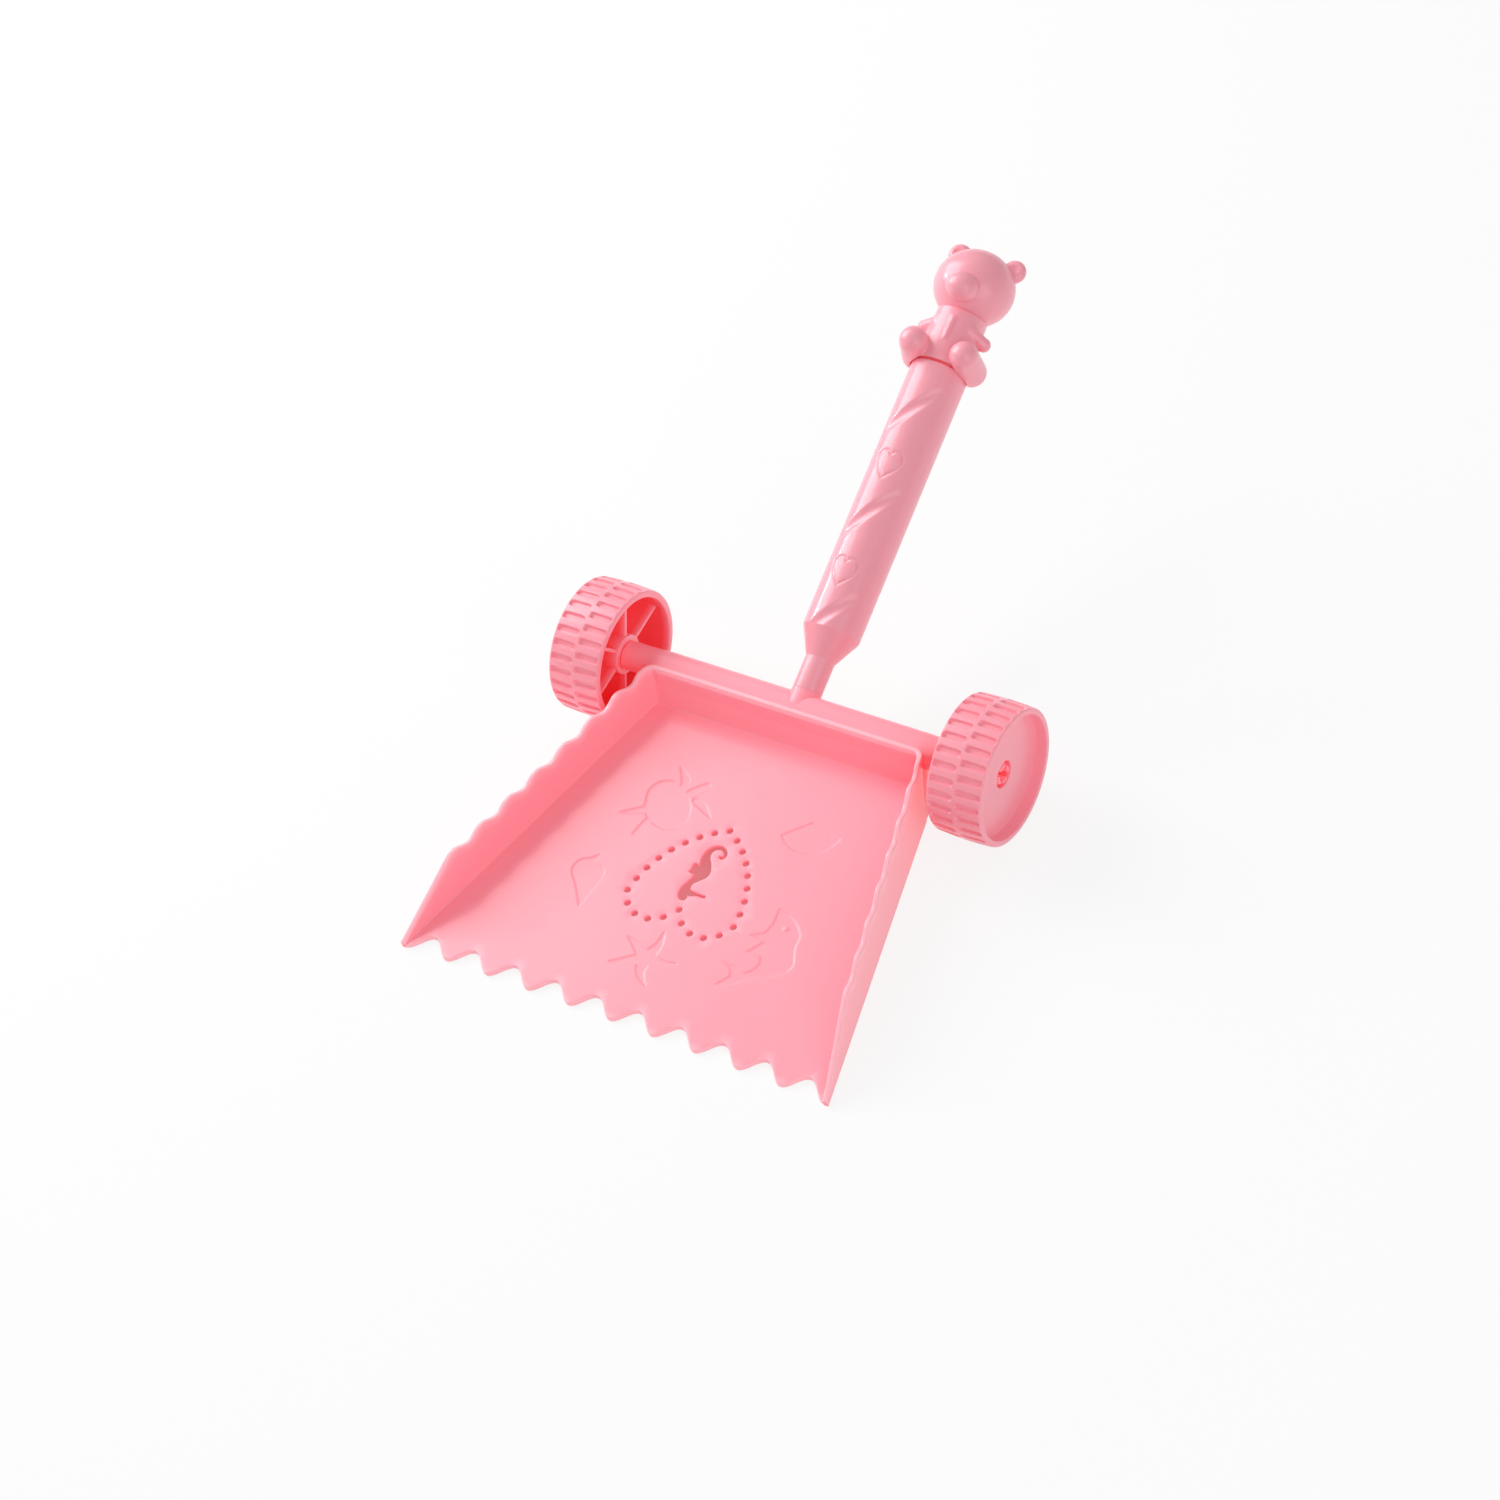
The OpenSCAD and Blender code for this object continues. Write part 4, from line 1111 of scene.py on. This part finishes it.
def bear_field(b, grip_r, bore_r):
    """Field of the seated bear, negative inside, its front towards -y: balls and limbs with soft seams."""
    head_z = b.body_h + b.head_half_h

    def field(p):
        mirrored = p.copy()
        mirrored[:, 0] = np.abs(p[:, 0])
        radial = np.hypot(p[:, 0], p[:, 1])
        z = p[:, 2]
        waist = wave(b.belly_r, b.throat_r, np.clip(z / b.body_h, 0, 1))
        torso = np.maximum(0.95 * (radial - waist), np.maximum(b.seam_gap - z, z - b.body_h - 3))
        heel = (grip_r - b.foot_r / 6, -b.foot_reach, 0.85 * b.foot_r)
        leg = limb(mirrored, (grip_r, b.seam_gap, 0.6 * b.thigh_r), heel, b.thigh_r, b.foot_r)
        leg = np.maximum(leg, np.minimum(b.seam_gap - z, grip_r + b.seam_gap / 2 - radial))
        arm = limb(mirrored, (0.65 * b.throat_r, -0.57 * b.throat_r, b.body_h - 1.2 * b.hand_r),
                   (b.throat_r + 0.8 * b.hand_r, -0.8, b.body_h - 2.05 * b.hand_r), b.arm_r, b.hand_r)
        tie = limb(p, (0, 1 - b.throat_r, b.body_h - 2), (0, 1.2 - b.belly_r, b.body_h * 0.5), 1.9, 1.0)
        body = soft_min(soft_min(soft_min(torso, tie, 0.5), leg, 1.2), arm, 1.3)
        head = ball(p, (0, 0, head_z), (b.head_r, b.head_r * 0.97, b.head_half_h))
        muzzle = ball(p, (0, b.muzzle_r - b.head_r - b.muzzle_out, head_z - 0.36 * b.head_half_h),
                      (b.muzzle_r * 1.06, b.muzzle_r, b.muzzle_r * 0.92))
        head = soft_min(head, muzzle, 0.5)
        ear_x, ear_y, ear_z = 0.715 * b.head_r, 3.2, head_z + 0.785 * b.head_half_h
        ear = ball(mirrored, (ear_x, ear_y, ear_z), (b.ear_r, b.ear_t, b.ear_r))
        dish = ball(mirrored, (ear_x + 0.5, ear_y - b.ear_t - 0.6, ear_z + 0.5), (3.1, 1.7, 3.1))
        ear = -soft_min(-ear, dish, 0.8)
        head = soft_min(head, ear, 1.0)
        figure = soft_min(body, head, 0.35)
        stem = np.maximum(radial - grip_r + b.seam_gap, np.maximum(-z, z - 2 * b.seam_gap))
        plug = np.maximum(radial - bore_r + 0.05, np.maximum(-b.plug_length - z, z - b.seam_gap))
        return np.minimum(figure, np.minimum(stem, plug))

    return field


def bear_figure(scene):
    """Seated bear with its plug in the grip: the surface of its field, turned and set on the grip's end."""
    b = values(scene, "shovel_bear")
    g = grip_values(scene)
    field = bear_field(b, g.grip_r, g.bore_r)
    side = b.head_r + b.ear_r
    low = np.array([-side, -side - b.muzzle_out, -b.plug_length - 2 * b.mesh_step])
    high = np.array([side, side, b.body_h + 2 * b.head_half_h + b.ear_r])
    points, faces = surface_net(field, low, high, b.mesh_step)
    c, s = math.cos(b.bear_turn), math.sin(b.bear_turn)
    turned = points @ np.array([[c, s, 0], [-s, c, 0], [0, 0, 1]])
    return grip_place(scene, turned + [0, 0, g.seam]), faces


# Materials

def new_group(name, inputs, outputs):
    """Shader node group with named sockets; returns the group with its input and output nodes."""
    group = bpy.data.node_groups.new(name, "ShaderNodeTree")
    for label, kind, default in inputs:
        socket = group.interface.new_socket(name=label, in_out="INPUT", socket_type=kind)
        if default is not None:
            socket.default_value = default
    for label, kind in outputs:
        group.interface.new_socket(name=label, in_out="OUTPUT", socket_type=kind)
    return group, group.nodes.new("NodeGroupInput"), group.nodes.new("NodeGroupOutput")


def math_node(tree, operation, *terms):
    """Math node on sockets or numbers."""
    node = tree.nodes.new("ShaderNodeMath")
    node.operation = operation
    for socket, value in zip(node.inputs, terms):
        if isinstance(value, (int, float)):
            socket.default_value = value
        else:
            tree.links.new(value, socket)
    return node.outputs[0]


def noise_node(tree, vector, scale, detail=3.0, roughness=0.5):
    """Noise texture on a vector."""
    node = tree.nodes.new("ShaderNodeTexNoise")
    node.inputs["Detail"].default_value = detail
    node.inputs["Roughness"].default_value = roughness
    if isinstance(scale, (int, float)):
        node.inputs["Scale"].default_value = scale
    else:
        tree.links.new(scale, node.inputs["Scale"])
    tree.links.new(vector, node.inputs["Vector"])
    return node.outputs["Fac"]


def mix_colour(tree, share, first, second):
    """Mix of two colours; the share of the second is a socket."""
    node = tree.nodes.new("ShaderNodeMix")
    node.data_type = "RGBA"
    for socket, value in ((0, share), (6, first), (7, second)):
        if isinstance(value, tuple):
            node.inputs[socket].default_value = value
        else:
            tree.links.new(value, node.inputs[socket])
    return node.outputs[2]


def moulded_skin():
    """Group for moulded plastic: flow marks in the colour, an uneven gloss and a fine grain for the bump.

    Painted shade: where the marks say so, hollows and seams are mixed towards a dark red, standing in
    for the reddish light there. Painted highlight: thin rims are mixed towards a light pink.
    """
    group, given, result = new_group("moulded_skin", [
        ("Vector", "NodeSocketVector", None), ("Colour", "NodeSocketColor", (0.8, 0.4, 0.4, 1)),
        ("Painted_shade", "NodeSocketFloat", 0.0), ("Deep colour", "NodeSocketColor", (0.88, 0.1, 0.12, 1)),
        ("Painted_highlight", "NodeSocketFloat", 0.0), ("Pale colour", "NodeSocketColor", (1.0, 0.68, 0.75, 1)),
        ("Flow", "NodeSocketFloat", 0.05), ("Gloss", "NodeSocketFloat", 0.4),
        ("Gloss spread", "NodeSocketFloat", 0.06), ("Grain", "NodeSocketFloat", 1500.0)],
        [("Colour", "NodeSocketColor"), ("Roughness", "NodeSocketFloat"), ("Height", "NodeSocketFloat")])
    flow = noise_node(group, given.outputs["Vector"], 26.0, 4.0, 0.55)
    shift = math_node(group, "MULTIPLY_ADD", flow, given.outputs["Flow"], 1.0)
    centred = math_node(group, "SUBTRACT", shift, math_node(group, "MULTIPLY", given.outputs["Flow"], 0.5))
    tint = group.nodes.new("ShaderNodeVectorMath")
    tint.operation = "SCALE"
    # Painted shade and painted highlight: one mark mixes the colour towards a dark red, the other towards a
    # light pink.
    painted_shade = mix_colour(group, given.outputs["Painted_shade"], given.outputs["Colour"], given.outputs["Deep colour"])
    painted_highlight = mix_colour(group, given.outputs["Painted_highlight"], painted_shade, given.outputs["Pale colour"])
    group.links.new(painted_highlight, tint.inputs[0])
    group.links.new(centred, tint.inputs["Scale"])
    group.links.new(tint.outputs[0], result.inputs["Colour"])
    patches = noise_node(group, given.outputs["Vector"], 90.0, 2.0)
    uneven = math_node(group, "SUBTRACT", patches, 0.5)
    uneven = math_node(group, "MULTIPLY", uneven, given.outputs["Gloss spread"])
    group.links.new(math_node(group, "ADD", given.outputs["Gloss"], uneven), result.inputs["Roughness"])
    grain = noise_node(group, given.outputs["Vector"], given.outputs["Grain"], 2.0)
    group.links.new(grain, result.inputs["Height"])
    return group


def plastic(name, skin, base, roughness, grain_depth, mirror, coat, painted_glow):
    """Translucent moulded plastic: the skin group feeds colour, roughness and bump of one shader.

    A faint red emission is painted light that lifts the shade, for the light that thin walls pass on inside.
    """
    material = bpy.data.materials.new(name)
    material.use_nodes = True
    tree = material.node_tree
    shader = tree.nodes["Principled BSDF"]
    place = tree.nodes.new("ShaderNodeTexCoord")
    surface = tree.nodes.new("ShaderNodeGroup")
    surface.node_tree = skin
    surface.inputs["Colour"].default_value = (*base, 1)
    surface.inputs["Gloss"].default_value = roughness
    tree.links.new(place.outputs["Object"], surface.inputs["Vector"])
    # The two point marks drive the painted shade and the painted highlight of the skin.
    for label, share in (("Painted_shade", 0.85), ("Painted_highlight", 0.55)):
        mark = tree.nodes.new("ShaderNodeAttribute")
        mark.attribute_name = label.lower()
        tree.links.new(math_node(tree, "MULTIPLY", mark.outputs["Fac"], share), surface.inputs[label])
    tree.links.new(surface.outputs["Colour"], shader.inputs["Base Color"])
    tree.links.new(surface.outputs["Roughness"], shader.inputs["Roughness"])
    bump = tree.nodes.new("ShaderNodeBump")
    bump.inputs["Strength"].default_value = 1.0
    bump.inputs["Distance"].default_value = grain_depth * MM
    tree.links.new(surface.outputs["Height"], bump.inputs["Height"])
    tree.links.new(bump.outputs["Normal"], shader.inputs["Normal"])
    shader.inputs["Subsurface Weight"].default_value = 0.3
    shader.inputs["Subsurface Radius"].default_value = (1.0, 0.4, 0.35)
    shader.inputs["Subsurface Scale"].default_value = 1.6 * MM
    # Painted light: a red emission over the whole surface lifts the shade towards red.
    shader.inputs["Emission Color"].default_value = (1.0, 0.03, 0.03, 1)
    shader.inputs["Emission Strength"].default_value = painted_glow
    shader.inputs["IOR"].default_value = 1.49
    shader.inputs["Specular IOR Level"].default_value = mirror
    shader.inputs["Coat Weight"].default_value = coat
    shader.inputs["Coat Roughness"].default_value = 0.07
    return material


def finish(name):
    """One of the shovel's materials, made once."""
    if name in bpy.data.materials:
        return bpy.data.materials[name]
    f = bpy.context.scene.shovel_finish
    skin = bpy.data.node_groups.get("moulded_skin") or moulded_skin()
    looks = {
        # The last value of each look is the strength of its painted red emission.
        "satin_pink_plastic": dict(base=f.pan_colour, roughness=f.pan_roughness, grain_depth=0.02,
                                   mirror=0.32, coat=0.1, painted_glow=0.19),
        "wheel_pink_plastic": dict(base=f.wheel_colour, roughness=f.pan_roughness, grain_depth=0.02,
                                   mirror=0.5, coat=0.05, painted_glow=0.13),
        "gloss_pink_plastic": dict(base=f.grip_colour, roughness=f.grip_roughness, grain_depth=0.001,
                                   mirror=0.5, coat=0.3, painted_glow=0.09),
    }
    return plastic(name, skin, **looks[name])


def stage_material():
    """Light floor that stays white to the camera and in reflections, and still takes the object's shadow.

    Under the pan, where it is only seen through the holes, its emission has painted pink light, standing in
    for the light that comes through the pan.
    """
    pan_middle, painted_pink_r, clear_r = (0, -84 * MM, 0), 34 * MM, 58 * MM
    material = bpy.data.materials.new("stage_white")
    material.use_nodes = True
    tree = material.node_tree
    tree.nodes.remove(tree.nodes["Principled BSDF"])
    paint = tree.nodes.new("ShaderNodeBsdfDiffuse")
    paint.inputs["Color"].default_value = (0.9, 0.9, 0.9, 1)
    # Emission of the floor: white for an evenly bright floor, and painted pink light under the pan.
    painted_glow = tree.nodes.new("ShaderNodeEmission")
    rays = tree.nodes.new("ShaderNodeLightPath")
    seen = math_node(tree, "MAXIMUM", rays.outputs["Is Camera Ray"], rays.outputs["Is Glossy Ray"])
    seen = math_node(tree, "MAXIMUM", seen, rays.outputs["Is Transmission Ray"])
    place = tree.nodes.new("ShaderNodeTexCoord")
    reach = tree.nodes.new("ShaderNodeVectorMath")
    reach.operation = "DISTANCE"
    reach.inputs[1].default_value = pan_middle
    tree.links.new(place.outputs["Object"], reach.inputs[0])
    clear = tree.nodes.new("ShaderNodeMapRange")
    clear.interpolation_type = "SMOOTHSTEP"
    clear.inputs["From Min"].default_value = painted_pink_r
    clear.inputs["From Max"].default_value = clear_r
    tree.links.new(reach.outputs["Value"], clear.inputs["Value"])
    # Painted pink light under the pan, fading to white farther out.
    tint = mix_colour(tree, clear.outputs["Result"], (0.98, 0.3, 0.34, 1), (1, 1, 1, 1))
    tree.links.new(tint, painted_glow.inputs["Color"])
    bright = math_node(tree, "MULTIPLY_ADD", clear.outputs["Result"], 0.4, 0.45)
    share = math_node(tree, "MULTIPLY", seen, bright)
    mix = tree.nodes.new("ShaderNodeMixShader")
    tree.links.new(share, mix.inputs["Fac"])
    tree.links.new(paint.outputs[0], mix.inputs[1])
    tree.links.new(painted_glow.outputs[0], mix.inputs[2])
    tree.links.new(mix.outputs[0], tree.nodes["Material Output"].inputs["Surface"])
    return material


# Operators

class SHOVEL_OT_pan(bpy.types.Operator):
    """Build the walls and the floor of the scoop pan"""
    bl_idname = "shovel.pan"
    bl_label = "Pan"

    def execute(self, context):
        p = pan_values(context.scene)
        material = finish("satin_pink_plastic")
        # The rims and the lip get a painted highlight mark.
        make_piece("pan_walls", [pan_walls(p)], "shovel", material, "scoop_pan",
                   marks=[("painted_highlight", painted_rim_highlight(p))])
        make_piece("pan_floor", [pan_floor(p)], "shovel", material, "scoop_pan",
                   marks=[("painted_highlight", painted_lip_highlight(p))])
        return {"FINISHED"}


class SHOVEL_OT_beam(bpy.types.Operator):
    """Build the axle beam with its collar, its two gussets and its two journals"""
    bl_idname = "shovel.beam"
    bl_label = "Axle beam"

    def execute(self, context):
        p = pan_values(context.scene)
        parts = [beam_body(p), collar(context.scene), gusset(p, 1), gusset(p, -1)]
        parts += journal(p, 1) + journal(p, -1)
        make_piece("axle_beam", parts, "shovel", finish("satin_pink_plastic"), "scoop_pan")
        return {"FINISHED"}


class SHOVEL_OT_wheels(bpy.types.Operator):
    """Build the two wheels"""
    bl_idname = "shovel.wheels"
    bl_label = "Wheels"

    def execute(self, context):
        p = pan_values(context.scene)
        w = wheel_values(context.scene, p)
        for name, side in (("right_wheel", 1), ("left_wheel", -1)):
            # The inside of each wheel gets a painted shade mark.
            make_piece(name + "_moulding", build_wheel(w, p, side), name,
                       finish("wheel_pink_plastic"), name, marks=[("painted_shade", wheel_painted_shade(w, p))])
        return {"FINISHED"}


class SHOVEL_OT_grip(bpy.types.Operator):
    """Build the hollow grip"""
    bl_idname = "shovel.grip"
    bl_label = "Grip"

    def execute(self, context):
        # The seam at the grip's end gets a painted shade mark.
        make_piece("grip_moulding", [grip_shell(context.scene)], "shovel",
                   finish("gloss_pink_plastic"), "grip_handle", marks=[("painted_shade", seam_painted_shade(context.scene))])
        return {"FINISHED"}


class SHOVEL_OT_bear(bpy.types.Operator):
    """Build the seated bear on the end of the grip"""
    bl_idname = "shovel.bear"
    bl_label = "Bear"

    def execute(self, context):
        # The bear's side of the seam gets a painted shade mark.
        make_piece("bear_moulding", [bear_figure(context.scene)], "shovel",
                   finish("gloss_pink_plastic"), "bear_topper", sharp_deg=60,
                   marks=[("painted_shade", seam_painted_shade(context.scene))])
        return {"FINISHED"}


def area_light(name, place, aim, width, power, tint):
    """Square soft light at a place, turned towards a point."""
    light = bpy.data.lights.new(name, "AREA")
    light.shape = "SQUARE"
    light.size = width
    light.energy = power
    light.color = tint
    lamp = bpy.data.objects.new(name, light)
    lamp.location = place
    lamp.rotation_euler = (Vector(place) - Vector(aim)).to_track_quat("Z", "Y").to_euler()
    bpy.context.scene.collection.objects.link(lamp)


def photo_camera(stage):
    """Camera that looks at the target from the photograph's direction, turned about its axis by the roll."""
    data = bpy.data.cameras.new("photo_camera")
    data.sensor_width = 36
    data.lens = stage.lens
    data.clip_start = 0.05
    a, e = stage.azimuth, stage.elevation
    back = Vector((math.sin(a) * math.cos(e), -math.cos(a) * math.cos(e), math.sin(e)))
    right = Vector((math.cos(a), math.sin(a), 0))
    turn = Matrix.Rotation(-stage.roll, 3, -back)
    right = turn @ right
    up = back.cross(right)
    camera = bpy.data.objects.new("photo_camera", data)
    rotation = Matrix((right, up, back)).transposed()
    place = Vector(stage.target) + stage.distance * back
    camera.matrix_world = Matrix.Translation(place) @ rotation.to_4x4()
    bpy.context.scene.collection.objects.link(camera)
    bpy.context.scene.camera = camera


class SHOVEL_OT_stage(bpy.types.Operator):
    """Set up the floor, the soft light and the camera"""
    bl_idname = "shovel.stage"
    bl_label = "Stage"

    def execute(self, context):
        scene = context.scene
        stage = scene.shovel_stage
        half = 4.0
        mesh = bpy.data.meshes.new("stage_floor")
        corners = [(-half, -half, 0), (half, -half, 0), (half, half, 0), (-half, half, 0)]
        mesh.from_pydata(corners, [], [(0, 1, 2, 3)])
        mesh.materials.append(stage_material())
        floor = bpy.data.objects.new("stage_floor", mesh)
        scene.collection.objects.link(floor)
        area_light("key_light", (-1.15, 0.2, 0.95), (0, 0, 0.03), 1.1, stage.key, (1, 0.98, 0.97))
        area_light("side_light", (-1.3, 0.05, 0.6), (0, 0, 0.08), 0.13, stage.side, (1, 1, 1))
        area_light("fill_light", (1.35, -0.75, 0.85), (0, 0, 0.03), 1.2, stage.fill, (1, 1, 1))
        world = bpy.data.worlds.new("studio")
        world.use_nodes = True
        world.node_tree.nodes["Background"].inputs["Color"].default_value = (1, 1, 1, 1)
        world.node_tree.nodes["Background"].inputs["Strength"].default_value = stage.sky
        scene.world = world
        scene.view_settings.view_transform = "Standard"
        photo_camera(stage)
        return {"FINISHED"}


OPERATORS = (SHOVEL_OT_pan, SHOVEL_OT_beam, SHOVEL_OT_wheels, SHOVEL_OT_grip, SHOVEL_OT_bear,
             SHOVEL_OT_stage)


class SHOVEL_PT_panel(bpy.types.Panel):
    """Lists the builders of the shovel's pieces"""
    bl_idname = "SHOVEL_PT_panel"
    bl_label = "Sand shovel"
    bl_space_type = "VIEW_3D"
    bl_region_type = "UI"
    bl_category = "Shovel"

    def draw(self, context):
        for operator in OPERATORS:
            self.layout.operator(operator.bl_idname)


def register():
    for group in GROUPS.values():
        bpy.utils.register_class(group)
    for name, group in GROUPS.items():
        setattr(bpy.types.Scene, name, PointerProperty(type=group))
    for operator in OPERATORS:
        bpy.utils.register_class(operator)
    bpy.utils.register_class(SHOVEL_PT_panel)


def unregister():
    bpy.utils.unregister_class(SHOVEL_PT_panel)
    for operator in reversed(OPERATORS):
        bpy.utils.unregister_class(operator)
    for name in GROUPS:
        delattr(bpy.types.Scene, name)
    for group in reversed(list(GROUPS.values())):
        bpy.utils.unregister_class(group)


def main():
    register()
    bpy.ops.shovel.pan()
    bpy.ops.shovel.beam()
    bpy.ops.shovel.wheels()
    bpy.ops.shovel.grip()
    bpy.ops.shovel.bear()
    bpy.ops.shovel.stage()


if __name__ == "__main__":
    main()
